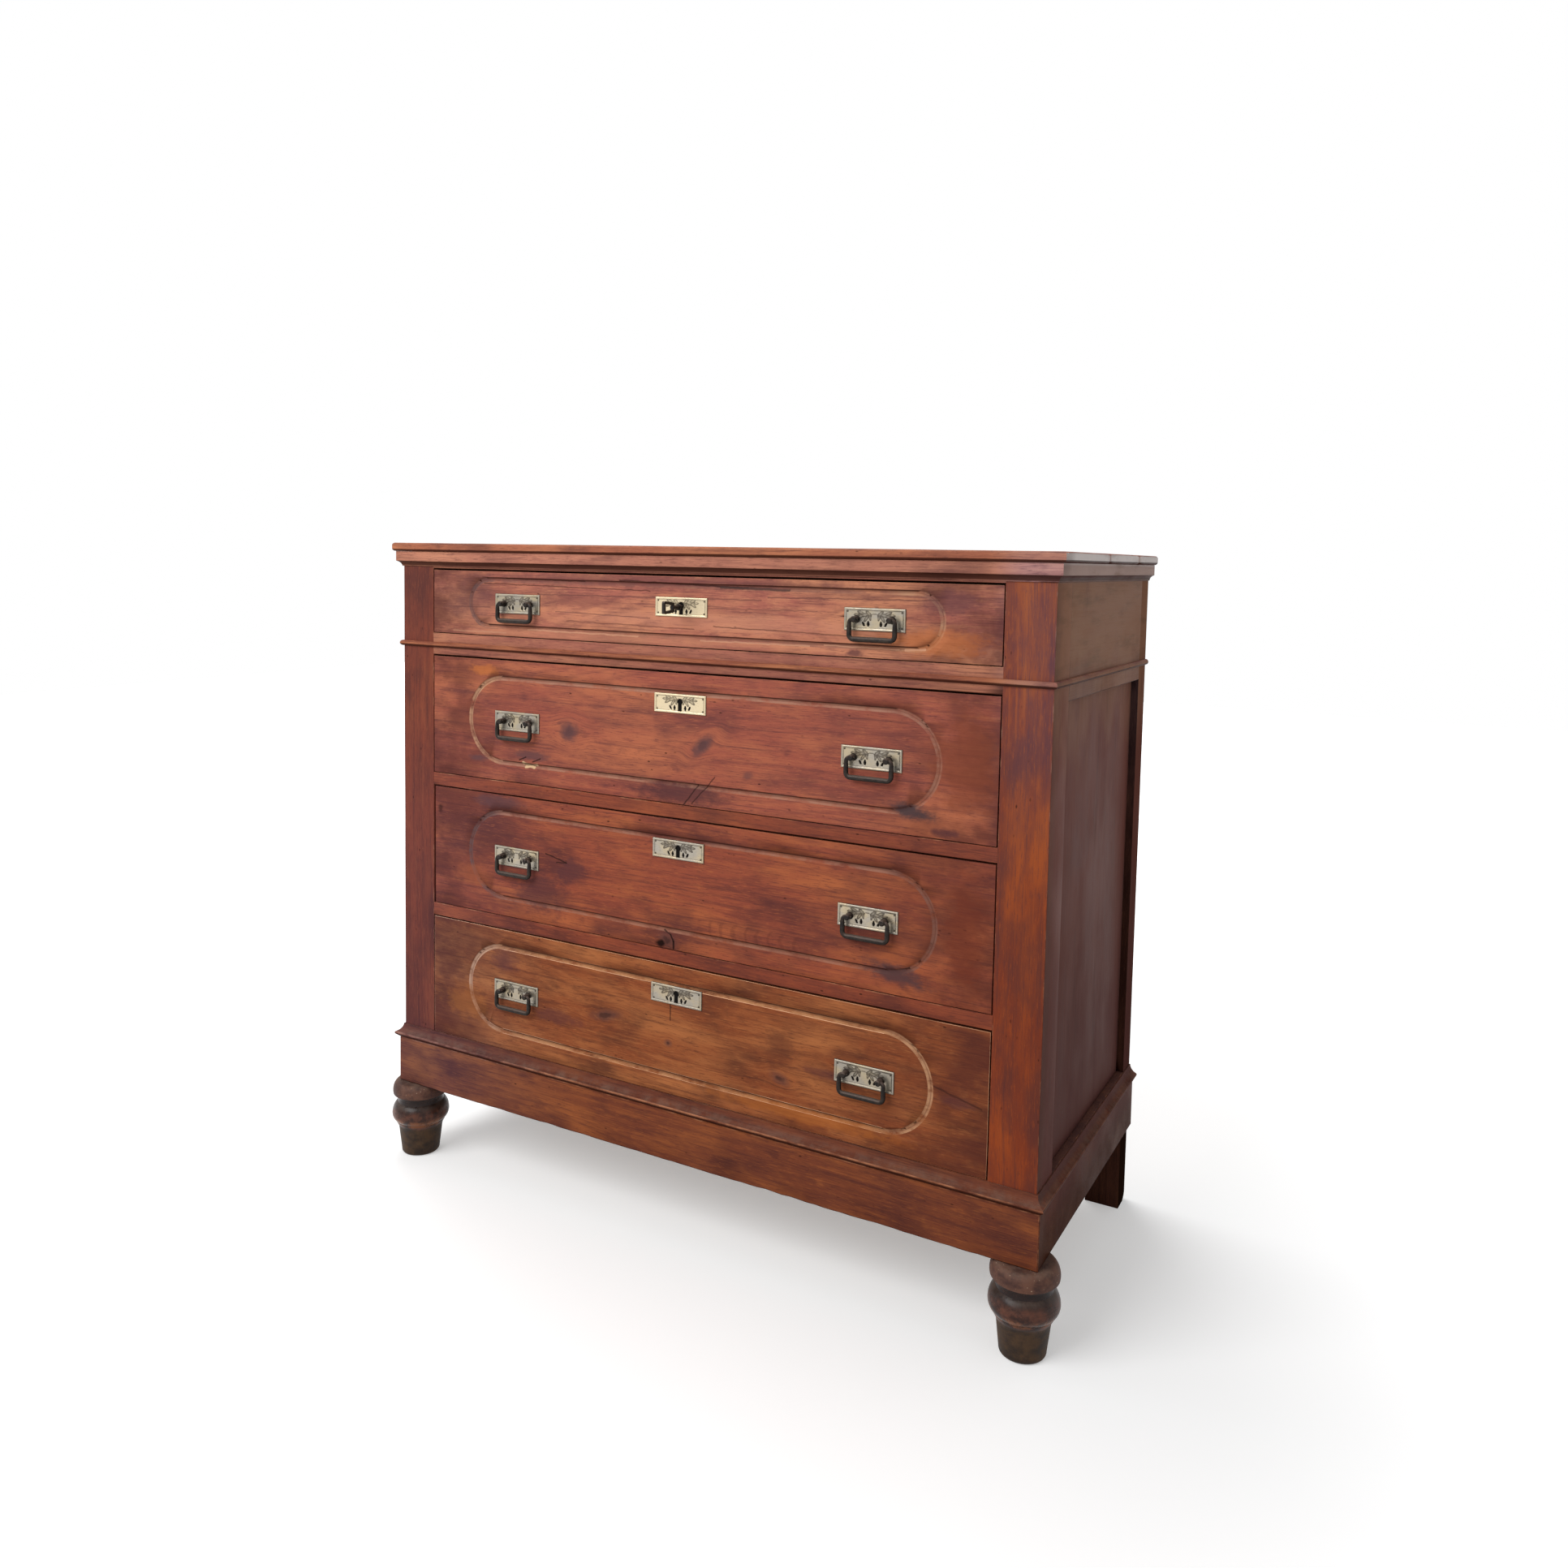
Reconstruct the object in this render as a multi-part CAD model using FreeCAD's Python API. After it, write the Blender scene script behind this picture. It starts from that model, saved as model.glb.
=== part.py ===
# A four-drawer chest in stained softwood: framed sides, applied mouldings, turned front feet,
# half-blind dovetailed drawers, drop bail handles and mortised locks.
# Sizes are in millimetres. X runs along the front, -Y faces the user and +Z is up.
# The origin lies on the floor, under the middle of the whole chest with its key.
import FreeCAD, Part
import math
import os

# Carcass sizes
case_width = 1000.0
case_depth = 435.0
drawer_rail_height = 18.5
frieze_rail_height = 32.0
top_rail_height = 24.5

# Drawer openings, from the bottom drawer (4) to the top one (1)
opening_4_height = 180.0
opening_3_height = 179.0
opening_2_height = 176.5
opening_1_height = 95.0

# Top board and the moulding under it
top_thickness = 12.5
top_overhang = 12.0
top_edge_round = 4.0
top_round_limit_share = 0.4
bed_projection = 8.0
bed_cove_height = 7.5
bed_reveal = 2.5
bed_fillet = 1.5

# Corner posts
front_post_width = 60.0
front_post_depth = 58.0
rear_post_width = 48.0
rear_post_depth = 36.0
rear_foot_round = 14.0
rear_round_limit_share = 0.6

# Side frames
panel_thickness = 10.0
panel_recess = 10.0
panel_lip = 5.0
panel_tongue = 8.0
panel_clearance = 0.5
frieze_board_drop = 19.0

# Mortise and tenon joints
tenon_length = 20.0
tenon_shoulder = 4.0
side_tenon_thickness = 7.0
rail_tenon_depth = 28.0
back_tenon_thickness = 7.0

# Back and bottom
back_thickness = 8.0
back_rebate = 12.0
back_board_count = 5
back_board_gap = 0.8
back_rail_thickness = 18.0
back_top_rail_height = 40.0
bottom_thickness = 8.0

# Bead moulding between the top drawer and the rest
bead_rise = 14.5
bead_height = 8.0
bead_projection = 4.5

# Plinth and base cap moulding
plinth_height = 69.0
plinth_projection = 6.0
plinth_backing = 18.0
cap_height = 20.0
cap_projection = 11.5
cap_lip_height = 3.0
cap_undercut = 5.0
cap_fillet = 1.5
cove_sag_share = 0.16

# Turned front feet
foot_height = 113.0
foot_inset = 22.0
foot_collar_top_radius = 34.0
foot_collar_radius = 41.0
foot_waist_radius = 36.5
foot_bulb_radius = 42.5
foot_bulb_end_radius = 33.0
foot_ankle_radius = 30.5
foot_toe_radius = 27.5
foot_toe_bevel = 3.0
foot_collar_share = 0.81
foot_waist_share = 0.69
foot_bulb_share = 0.515
foot_bulb_end_share = 0.305
foot_ankle_share = 0.275
foot_tenon_radius = 9.0
foot_tenon_length = 30.0
foot_tenon_clearance = 0.2

# Runners, kickers and stops
runner_reach = 18.0
guide_height = 25.0
stop_offset = 200.0
stop_width = 40.0
stop_depth = 18.0
stop_height = 7.0
stop_clearance = 0.3

# Drawer boxes
drawer_side_gap = 1.5
drawer_top_gap = 2.0
drawer_bottom_gap = 1.0
runner_clearance = 0.3
drawer_front_thickness = 22.0
drawer_side_thickness = 12.0
drawer_back_thickness = 10.0
drawer_bottom_thickness = 7.0
drawer_bottom_lift = 10.0
drawer_groove_depth = 5.0
drawer_groove_clearance = 0.2
drawer_side_drop = 4.0
drawer_back_drop = 8.0
drawer_rear_clearance = 6.0

# Half-blind dovetails
dovetail_lap = 6.0
dovetail_pitch = 40.0
dovetail_tail_share = 0.56
dovetail_slope_share = 0.17

# Run-round groove on each drawer front
groove_side_margin = 74.0
groove_edge_margin = 27.5
groove_top_drawer_margin = 14.0
groove_width = 7.0
groove_depth = 2.0

# Stamped plates
plate_width = 81.0
plate_height = 28.0
plate_thickness = 2.0
plate_rim_width = 3.0
plate_rim_height = 0.8
handle_offset = 278.0

# Eye posts that carry the bails
post_spacing = 47.0
post_stem_radius = 2.5
post_stem_length = 15.0
post_stem_clearance = 0.1
post_collar_radius = 4.6
post_collar_height = 1.6
post_head_radius = 3.8
post_head_bevel = 1.2
post_tip = 4.2
pivot_reach = 8.5

# Drop bails
bail_wire_radius = 2.3
bail_pin_radius = 1.5
bail_pin_clearance = 0.05
bail_pin_tip = 1.0
bail_side_clearance = 0.4
bail_drop = 27.5
bail_corner_radius = 8.0

# Locks
lock_drop = 42.0
lock_width = 60.0
lock_below = 16.0
lock_thickness = 11.0
lock_wall = 1.6
lock_clearance = 0.2
lock_bit_clearance = 0.8
keyhole_radius = 3.4
keyhole_slot_width = 3.0
keyhole_slot_length = 9.0
bolt_width = 26.0
bolt_clearance = 0.3
bolt_travel = 8.0
bolt_mortise_clearance = 1.5

# Key
key_reach = 42.0
key_shank_radius = 2.8
key_bow_width = 17.0
key_bow_length = 23.0
key_bow_bar = 3.4
key_bow_thickness = 4.0
key_bow_throat = 6.0
key_bow_round = 2.5
key_collar_radius = 4.2
key_collar_length = 2.5
key_collar_gap = 4.0
key_bit_reach = 8.0
key_bit_length = 4.5
key_bit_thickness = 2.2
key_tip_length = 2.0

# One overrun carries every cutting tool clear of the wood it cuts
overrun = 1.0

# A bend of the wire, in degrees
quarter_turn = 90

# Levels and places that follow from the sizes
half_width = case_width / 2
opening_half = half_width - front_post_width
front_y = (key_reach - case_depth) / 2
back_y = front_y + case_depth
front_post_back = front_y + front_post_depth
rear_post_front = back_y - rear_post_depth
side_board_thickness = panel_recess + panel_thickness + panel_lip
side_inner = half_width - side_board_thickness
cap_bottom = foot_height + plinth_height
base_top = cap_bottom + cap_height
back_inner = back_y - back_thickness
drawer_back_y = back_inner - back_rail_thickness - drawer_rear_clearance
front_back_y = front_y + drawer_front_thickness
pivot_y = front_y - pivot_reach
plate_field_y = front_y - plate_thickness + plate_rim_height
lock_front_y = front_back_y - lock_thickness
bolt_gap = key_bit_reach + lock_bit_clearance + lock_wall
foot_x = half_width + plinth_projection - foot_inset
foot_y = front_y - plinth_projection + foot_inset

# Each drawer's opening and the rail over it, from the bottom drawer (4) up to the top one (1)
opening = {}
rail_over = {}
level = base_top
stack = (
    (opening_4_height, drawer_rail_height),
    (opening_3_height, drawer_rail_height),
    (opening_2_height, frieze_rail_height),
    (opening_1_height, top_rail_height),
)
for step, (opening_height, rail_height) in enumerate(stack):
    number = len(stack) - step
    opening[number] = (level, level + opening_height)
    rail_over[number] = (level + opening_height, level + opening_height + rail_height)
    level = rail_over[number][1]
case_top = level
bead_level = rail_over[2][0] + bead_rise
frieze_bottom = bead_level - bead_height / 2 - frieze_board_drop
rail_bottom = base_top - drawer_rail_height

vector = FreeCAD.Vector
x_axis = vector(1, 0, 0)
y_axis = vector(0, 1, 0)
z_axis = vector(0, 0, 1)
centre = vector(0, 0, 0)


def box(x, y, z):
    """A block from its three (low, high) spans."""
    corner = vector(x[0], y[0], z[0])
    return Part.makeBox(x[1] - x[0], y[1] - y[0], z[1] - z[0], corner)


def mirrored(shape):
    """The same piece on the other side of the chest."""
    return shape.mirror(centre, x_axis)


def pair(shape):
    """A right-hand piece with its left-hand twin."""
    return [shape, mirrored(shape)]


def prism(points, sweep):
    """A closed outline of points pushed along a vector."""
    return Part.Face(Part.makePolygon(points + points[:1])).extrude(sweep)


def save(node, solids):
    """Writes one node's solids to its own file."""
    shape = solids[0] if len(solids) == 1 else Part.makeCompound(solids)
    shape.exportStep("parts/" + node + ".step")


def span(middle, size):
    """The (low, high) span of a size about its middle."""
    return (middle - size / 2, middle + size / 2)


def bar(radius, start, end):
    """A round bar between two points."""
    run = end - start
    return Part.makeCylinder(radius, run.Length, start, run)


# Mouldings that run along the front and both sides, mitred at the front corners

def moulding(edges, projection, low, high):
    """Front, right and left lengths of one moulding profile drawn as (out, up) edges."""
    reach = projection + overrun
    height = high - low + 2 * overrun
    floor = low - overrun
    profile = Part.Face(Part.Wire(edges))
    front_run = profile.copy()
    front_run.rotate(centre, z_axis, -90)
    front_run.translate(vector(-half_width - reach, front_y, 0))
    front_run = front_run.extrude(x_axis * (case_width + 2 * reach))
    front_plan = [
        vector(-half_width, front_y, floor),
        vector(half_width, front_y, floor),
        vector(half_width + reach, front_y - reach, floor),
        vector(-half_width - reach, front_y - reach, floor),
    ]
    side_run = profile.copy()
    side_run.translate(vector(half_width, front_y - reach, 0))
    side_run = side_run.extrude(y_axis * (case_depth + reach))
    side_plan = [
        vector(half_width, front_y, floor),
        vector(half_width, back_y, floor),
        vector(half_width + reach, back_y, floor),
        vector(half_width + reach, front_y - reach, floor),
    ]
    front = front_run.common(prism(front_plan, z_axis * height))
    side = side_run.common(prism(side_plan, z_axis * height))
    return [front] + pair(side)


def line(start, end):
    """A straight profile edge between two (out, up) points."""
    return Part.LineSegment(vector(start[0], 0, start[1]), vector(end[0], 0, end[1])).toShape()


def hollow(start, end):
    """A concave profile edge that sags towards the wood."""
    run = (end[0] - start[0], end[1] - start[1])
    middle = ((start[0] + end[0]) / 2, (start[1] + end[1]) / 2)
    sag = (middle[0] + run[1] * cove_sag_share, middle[1] - run[0] * cove_sag_share)
    points = [vector(p[0], 0, p[1]) for p in (start, sag, end)]
    return Part.Arc(*points).toShape()


def closed_profile(points):
    """Straight profile edges round the points."""
    return [line(start, end) for start, end in zip(points, points[1:] + points[:1])]


def top_moulding():
    """The bed moulding under the top board: a cove below a plain fillet."""
    low = opening[1][1] + bed_reveal
    points = [
        (0, case_top),
        (0, low),
        (bed_fillet, low),
        (bed_projection, low + bed_cove_height),
        (bed_projection, case_top),
    ]
    edges = closed_profile(points)
    edges[2] = hollow(points[3], points[2])
    return moulding(edges, bed_projection, low, case_top)


def bead_moulding():
    """The half-round bead under the top drawer."""
    low = bead_level - bead_height / 2
    high = bead_level + bead_height / 2
    round_edge = Part.Arc(vector(0, 0, low), vector(bead_projection, 0, bead_level), vector(0, 0, high))
    return moulding([round_edge.toShape(), line((0, high), (0, low))], bead_projection, low, high)


def base_cap():
    """The cap over the plinth: a cove that falls to a thin lip, undercut below."""
    lip_low = cap_bottom + cap_undercut
    lip_high = lip_low + cap_lip_height
    points = [
        (0, cap_bottom),
        (plinth_projection, cap_bottom),
        (cap_projection, lip_low),
        (cap_projection, lip_high),
        (cap_fillet, base_top),
        (0, base_top),
    ]
    edges = closed_profile(points)
    edges[3] = hollow(points[4], points[3])
    return moulding(edges, cap_projection, cap_bottom, base_top)


def plinth():
    """Plinth boards: a rebated front that backs between the posts, and two side facings."""
    points = [
        (0, foot_height),
        (plinth_projection, foot_height),
        (plinth_projection, cap_bottom),
        (0, cap_bottom),
    ]
    edges = closed_profile(points)
    front, right, left = moulding(edges, plinth_projection, foot_height, cap_bottom)
    backing = box(
        (-opening_half, opening_half),
        (front_y, front_y + plinth_backing),
        (foot_height, rail_bottom),
    )
    return [front.fuse(backing).removeSplitter(), right, left]


# Carcass pieces

def side_tenons(low, high):
    """Stub tenons at both ends of a right-hand side board, clear of the panel's groove."""
    x = span(half_width - side_board_thickness / 2, side_tenon_thickness)
    z = (low + panel_tongue, high - panel_tongue)
    return [
        box(x, (front_post_back - tenon_length, front_post_back), z),
        box(x, (rear_post_front, rear_post_front + tenon_length), z),
    ]


def rail_tenon(low, high):
    """The right-hand stub tenon of a front rail."""
    y = span(front_y + front_post_depth / 2, rail_tenon_depth)
    z = (low + tenon_shoulder, high - tenon_shoulder)
    return box((opening_half, opening_half + tenon_length), y, z)


def back_tenon(low, high):
    """The right-hand stub tenon of a back rail."""
    inner = half_width - rear_post_width
    y = span(back_inner - back_rail_thickness / 2, back_tenon_thickness)
    z = (low + tenon_shoulder, high - tenon_shoulder)
    return box((inner, inner + tenon_length), y, z)


bottom_rail_span = (rail_bottom, base_top)
back_rail_spans = (
    (foot_height, rail_bottom - bottom_thickness),
    (case_top - back_top_rail_height, case_top),
)
frieze_span = (frieze_bottom, case_top)
side_rail_span = (foot_height, base_top)
panel_x = (half_width - panel_recess - panel_thickness, half_width - panel_recess)


def panel_groove():
    """The room that the right-hand panel takes in the posts and boards round it."""
    y = (front_post_back - panel_tongue, rear_post_front + panel_tongue)
    return box(panel_x, y, (base_top - panel_tongue, frieze_bottom + panel_tongue))


def side_panel():
    """A thin panel, loose in its grooves at the edges and standing on the lowest one."""
    tongue = panel_tongue - panel_clearance
    y = (front_post_back - tongue, rear_post_front + tongue)
    return box(panel_x, y, (base_top - panel_tongue, frieze_bottom + tongue))


def side_board(low, high):
    """A right-hand side board with its tenons, flush with the posts."""
    blank = box((side_inner, half_width), (front_post_back, rear_post_front), (low, high))
    board = blank.cut(panel_groove())
    return board.fuse(side_tenons(low, high)).removeSplitter()


def front_post():
    """The right-hand front post, mortised for rails, side boards, panel and foot."""
    post = box((opening_half, half_width), (front_y, front_post_back), (foot_height, case_top))
    tools = [side_tenons(*frieze_span)[0], side_tenons(*side_rail_span)[0], panel_groove()]
    tools += [rail_tenon(*rail) for rail in rail_over.values()]
    tools.append(rail_tenon(*bottom_rail_span))
    bore = foot_tenon_radius + foot_tenon_clearance
    depth = foot_tenon_length + foot_tenon_clearance + overrun
    start = vector(foot_x, foot_y, foot_height - overrun)
    tools.append(Part.makeCylinder(bore, depth, start, z_axis))
    return post.cut(tools).removeSplitter()


def rear_post():
    """The right-hand rear post, which runs to the floor as a plain foot with a rounded heel."""
    inner = half_width - rear_post_width
    radius = min(rear_foot_round, rear_post_depth * rear_round_limit_share)
    heel = back_y - radius
    lean = radius * math.sin(math.pi / 4)
    heel_points = [vector(heel, 0, 0), vector(heel + lean, 0, radius - lean), vector(back_y, 0, radius)]
    outline = [
        line((rear_post_front, case_top), (rear_post_front, 0)),
        line((rear_post_front, 0), (heel, 0)),
        Part.Arc(*heel_points).toShape(),
        line((back_y, radius), (back_y, case_top)),
        line((back_y, case_top), (rear_post_front, case_top)),
    ]
    face = Part.Face(Part.Wire(outline))
    face.rotate(centre, z_axis, 90)
    post = face.extrude(x_axis * rear_post_width)
    post.translate(x_axis * inner)
    rebate = box(
        (inner - overrun, inner + back_rebate),
        (back_inner, back_y + overrun),
        (foot_height, case_top + overrun),
    )
    tools = [side_tenons(*frieze_span)[1], side_tenons(*side_rail_span)[1], panel_groove(), rebate]
    tools += [back_tenon(*rail) for rail in back_rail_spans]
    return post.cut(tools).removeSplitter()


def bolt_mortise(low):
    """The slot in a rail that takes the lock bolt of the drawer below."""
    half = bolt_width / 2 + bolt_mortise_clearance
    y = span(front_back_y - lock_thickness / 2, lock_thickness - 2 * lock_wall)
    return box((-half, half), y, (low - overrun, low + bolt_travel + bolt_mortise_clearance))


def front_rail(low, high, takes_bolt):
    """A front rail between the posts, with its tenons."""
    rail = box((-opening_half, opening_half), (front_y, front_post_back), (low, high))
    rail = rail.fuse(pair(rail_tenon(low, high))).removeSplitter()
    return rail.cut(bolt_mortise(low)) if takes_bolt else rail


def back_rail(low, high):
    """A back rail between the rear posts, with its tenons."""
    inner = half_width - rear_post_width
    rail = box((-inner, inner), (back_inner - back_rail_thickness, back_inner), (low, high))
    return rail.fuse(pair(back_tenon(low, high))).removeSplitter()


def back_boards():
    """Vertical boards nailed into the rebates of the rear posts."""
    reach = half_width - rear_post_width + back_rebate
    pitch = (2 * reach + back_board_gap) / back_board_count
    boards = []
    for index in range(back_board_count):
        left = -reach + index * pitch
        x = (left, left + pitch - back_board_gap)
        boards.append(box(x, (back_inner, back_y), (foot_height, case_top)))
    return boards


def bottom_board():
    """The board nailed up under the lowest rail and runners."""
    y = (front_y + plinth_backing, back_inner)
    return box((-opening_half, opening_half), y, (rail_bottom - bottom_thickness, rail_bottom))


def top_board():
    """The top, flush at the back and rounded over at the front and both ends."""
    x = (-half_width - top_overhang, half_width + top_overhang)
    board = box(x, (front_y - top_overhang, back_y), (case_top, case_top + top_thickness))
    radius = min(top_edge_round, top_thickness * top_round_limit_share)
    level_edges = [edge for edge in board.Edges if edge.BoundBox.ZLength == 0]
    rounded = [edge for edge in level_edges if edge.CenterOfMass.y < back_y - radius]
    return board.makeFillet(radius, rounded)


def runner(low):
    """A right-hand runner with the guide strip that keeps its drawer straight."""
    y = (front_post_back, rear_post_front)
    shelf = box((opening_half - runner_reach, side_inner), y, (low - drawer_rail_height, low))
    guide = box((opening_half, side_inner), y, (low, low + guide_height))
    return shelf.fuse(guide).removeSplitter()


def kicker():
    """The right-hand strip under the top that keeps the top drawer level as it opens."""
    x = (opening_half - runner_reach, side_inner)
    return box(x, (front_post_back, rear_post_front), (opening[1][1], case_top))


def drawer_stop(low):
    """A small right-hand block on a rail, just behind the closed drawer's front."""
    y = (front_back_y + stop_clearance, front_back_y + stop_clearance + stop_depth)
    return box(span(stop_offset, stop_width), y, (low, low + stop_height))


def front_foot():
    """A right-hand turned foot: collar, waist, bulb and tapered toe, with a tenon above."""
    def at(radius, height):
        return vector(radius, 0, height)

    waist = at(foot_waist_radius, foot_height * foot_waist_share)
    bulb_end = at(foot_bulb_end_radius, foot_height * foot_bulb_end_share)
    top = at(foot_collar_top_radius, foot_height)
    tenon_top = foot_height + foot_tenon_length
    edges = [
        line((0, tenon_top), (foot_tenon_radius, tenon_top)),
        line((foot_tenon_radius, tenon_top), (foot_tenon_radius, foot_height)),
        line((foot_tenon_radius, foot_height), (foot_collar_top_radius, foot_height)),
        Part.Arc(top, at(foot_collar_radius, foot_height * foot_collar_share), waist).toShape(),
        Part.Arc(waist, at(foot_bulb_radius, foot_height * foot_bulb_share), bulb_end).toShape(),
    ]
    toe = [
        (foot_bulb_end_radius, foot_height * foot_bulb_end_share),
        (foot_ankle_radius, foot_height * foot_ankle_share),
        (foot_toe_radius, foot_toe_bevel),
        (foot_toe_radius - foot_toe_bevel, 0),
        (0, 0),
        (0, tenon_top),
    ]
    edges += [line(start, end) for start, end in zip(toe, toe[1:])]
    foot = Part.Face(Part.Wire(edges)).revolve(centre, z_axis, 360)
    foot.translate(vector(foot_x, foot_y, 0))
    return foot


# Drawer pieces

def drawer_levels(number):
    """Bottom and top of a drawer's front and of its sides."""
    low, high = opening[number]
    front = (low + drawer_bottom_gap, high - drawer_top_gap)
    sides = (low + runner_clearance, high - drawer_top_gap - drawer_side_drop)
    return front, sides


front_half = opening_half - drawer_side_gap
inner_half = front_half - drawer_side_thickness


def dovetails(number):
    """The right-hand side's tails, which widen towards the front and stop short of its face."""
    front, sides = drawer_levels(number)
    low = max(front[0], sides[0])
    height = sides[1] - low
    count = max(1, round(height / dovetail_pitch))
    pitch = height / count
    depth = drawer_front_thickness - dovetail_lap
    root = pitch * dovetail_tail_share / 2
    tip = root + depth * dovetail_slope_share
    tip_y = front_y + dovetail_lap
    tails = []
    for index in range(count):
        middle = low + (index + 0.5) * pitch
        points = [
            vector(inner_half, front_back_y, middle - root),
            vector(inner_half, front_back_y, middle + root),
            vector(inner_half, tip_y, middle + tip),
            vector(inner_half, tip_y, middle - tip),
        ]
        tails.append(prism(points, x_axis * drawer_side_thickness))
    return tails


def groove_tool(number):
    """A vee cutter run along a path with straight sides and half-circle ends."""
    low, high = opening[number]
    margin = groove_top_drawer_margin if number == 1 else groove_edge_margin
    radius = (high - low) / 2 - margin
    middle = (low + high) / 2
    straight = opening_half - groove_side_margin - radius
    half = groove_width / 2 * (groove_depth + overrun) / groove_depth
    points = [
        vector(straight, front_y + groove_depth, middle + radius),
        vector(straight, front_y - overrun, middle + radius + half),
        vector(straight, front_y - overrun, middle + radius - half),
    ]
    section = Part.Face(Part.makePolygon(points + points[:1]))
    pivot = vector(straight, front_y, middle)
    over = section.extrude(x_axis * (-2 * straight))
    end = section.revolve(pivot, y_axis, 180)
    return over.fuse([over.mirror(pivot, z_axis), end, mirrored(end)])


def keyhole_tool(level, start, end):
    """A keyhole, round above and slotted below, from one depth to another."""
    hole = bar(keyhole_radius, vector(0, start, level), vector(0, end, level))
    slot = box(span(0, keyhole_slot_width), (start, end), (level - keyhole_slot_length, level))
    return hole.fuse(slot)


def lock_level(number):
    """Height of the key's axis in a drawer."""
    return opening[number][1] - lock_drop


def lock_mortise(number):
    """The open mortise for a lock, at the top of the drawer front's inner face."""
    half = lock_width / 2 + lock_clearance
    low = lock_level(number) - lock_below - lock_clearance
    high = drawer_levels(number)[0][1] + overrun
    return box((-half, half), (lock_front_y, front_back_y + overrun), (low, high))


def handle_level(number):
    """Height of the handle plates' middle in a drawer."""
    return sum(opening[number]) / 2


def post_places(number):
    """Where the four eye posts of a drawer stand on its face."""
    offsets = (-handle_offset, handle_offset)
    sides = (-post_spacing / 2, post_spacing / 2)
    return [(offset + side, handle_level(number)) for offset in offsets for side in sides]


def post_bores(number, start, end):
    """Clear holes for the stems of a drawer's eye posts."""
    radius = post_stem_radius + post_stem_clearance
    places = post_places(number)
    return [bar(radius, vector(x, start, z), vector(x, end, z)) for x, z in places]


def drawer_front(number):
    """A flush front with its run-round groove, dovetail sockets, lock mortise and keyhole."""
    board = box((-front_half, front_half), (front_y, front_back_y), drawer_levels(number)[0])
    tools = [groove_tool(number), lock_mortise(number)]
    tools.append(keyhole_tool(lock_level(number), front_y - overrun, front_back_y))
    stem_end = front_y + post_stem_length + post_stem_clearance
    tools += post_bores(number, front_y - overrun, stem_end)
    for tail in dovetails(number):
        tools += pair(tail)
    tools.append(bottom_tongue(number, 0))
    return board.cut(tools).removeSplitter()


def bottom_levels(number):
    """Underside and top of a drawer's bottom."""
    low = drawer_levels(number)[1][0] + drawer_bottom_lift
    return (low, low + drawer_bottom_thickness)


def bottom_tongue(number, clearance):
    """The part of a drawer's bottom that lies in the groove of its front."""
    reach = inner_half - clearance
    y = (front_back_y - drawer_groove_depth + clearance, front_back_y)
    return box((-reach, reach), y, bottom_levels(number))


def bottom_panel(number, clearance):
    """The part of a drawer's bottom behind the front, with its edges in the sides' grooves."""
    reach = inner_half + drawer_groove_depth - clearance
    return box((-reach, reach), (front_back_y, drawer_back_y), bottom_levels(number))


def drawer_bottom(number):
    """A thin bottom in grooves of the front and sides, run under the back."""
    clearance = drawer_groove_clearance
    return bottom_panel(number, clearance).fuse(bottom_tongue(number, clearance)).removeSplitter()


def drawer_side(number):
    """A right-hand drawer side, tailed at the front and grooved for the bottom."""
    board = box((inner_half, front_half), (front_back_y, drawer_back_y), drawer_levels(number)[1])
    board = board.cut(bottom_panel(number, 0))
    return board.fuse(dovetails(number)).removeSplitter()


def drawer_back(number):
    """A drawer back between the sides, standing on the bottom."""
    z = (bottom_levels(number)[1], drawer_levels(number)[1][1] - drawer_back_drop)
    return box((-inner_half, inner_half), (drawer_back_y - drawer_back_thickness, drawer_back_y), z)


# Drawer furniture

def stamped_plate(middle_x, middle_z):
    """A thin plate with a raised rim, seated on the drawer front."""
    x = span(middle_x, plate_width)
    z = span(middle_z, plate_height)
    plate = box(x, (front_y - plate_thickness, front_y), z)
    inside_x = (x[0] + plate_rim_width, x[1] - plate_rim_width)
    inside_z = (z[0] + plate_rim_width, z[1] - plate_rim_width)
    field = box(inside_x, (front_y - plate_thickness, plate_field_y), inside_z)
    return plate.cut(field)


def plates(number):
    """Two handle plates and the keyhole plate of one drawer."""
    start = front_y - plate_thickness - overrun
    bores = post_bores(number, start, front_y)
    handles = []
    for index, offset in enumerate((-handle_offset, handle_offset)):
        plate = stamped_plate(offset, handle_level(number))
        handles.append(plate.cut(bores[2 * index:2 * index + 2]))
    keyhole = keyhole_tool(lock_level(number), start, front_y)
    return handles + [stamped_plate(0, lock_level(number)).cut(keyhole)]


def eye_post():
    """A turned post on X and Z zero, with a collar on the plate and a cross bore for the bail's pin."""
    collar_y = plate_field_y - post_collar_height
    tip_y = pivot_y - post_tip
    stem_y = front_y + post_stem_length
    outline = [
        (0, tip_y),
        (post_head_radius - post_head_bevel, tip_y),
        (post_head_radius, tip_y + post_head_bevel),
        (post_head_radius, collar_y),
        (post_collar_radius, collar_y),
        (post_collar_radius, plate_field_y),
        (post_stem_radius, plate_field_y),
        (post_stem_radius, stem_y),
        (0, stem_y),
    ]
    points = [vector(radius, y, 0) for radius, y in outline]
    section = Part.Face(Part.makePolygon(points + points[:1]))
    post = section.revolve(centre, y_axis, 360)
    bore_radius = bail_pin_radius + bail_pin_clearance
    bore_start = vector(-post_collar_radius, pivot_y, 0)
    bore_end = vector(post_collar_radius, pivot_y, 0)
    return post.cut(bar(bore_radius, bore_start, bore_end))


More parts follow.
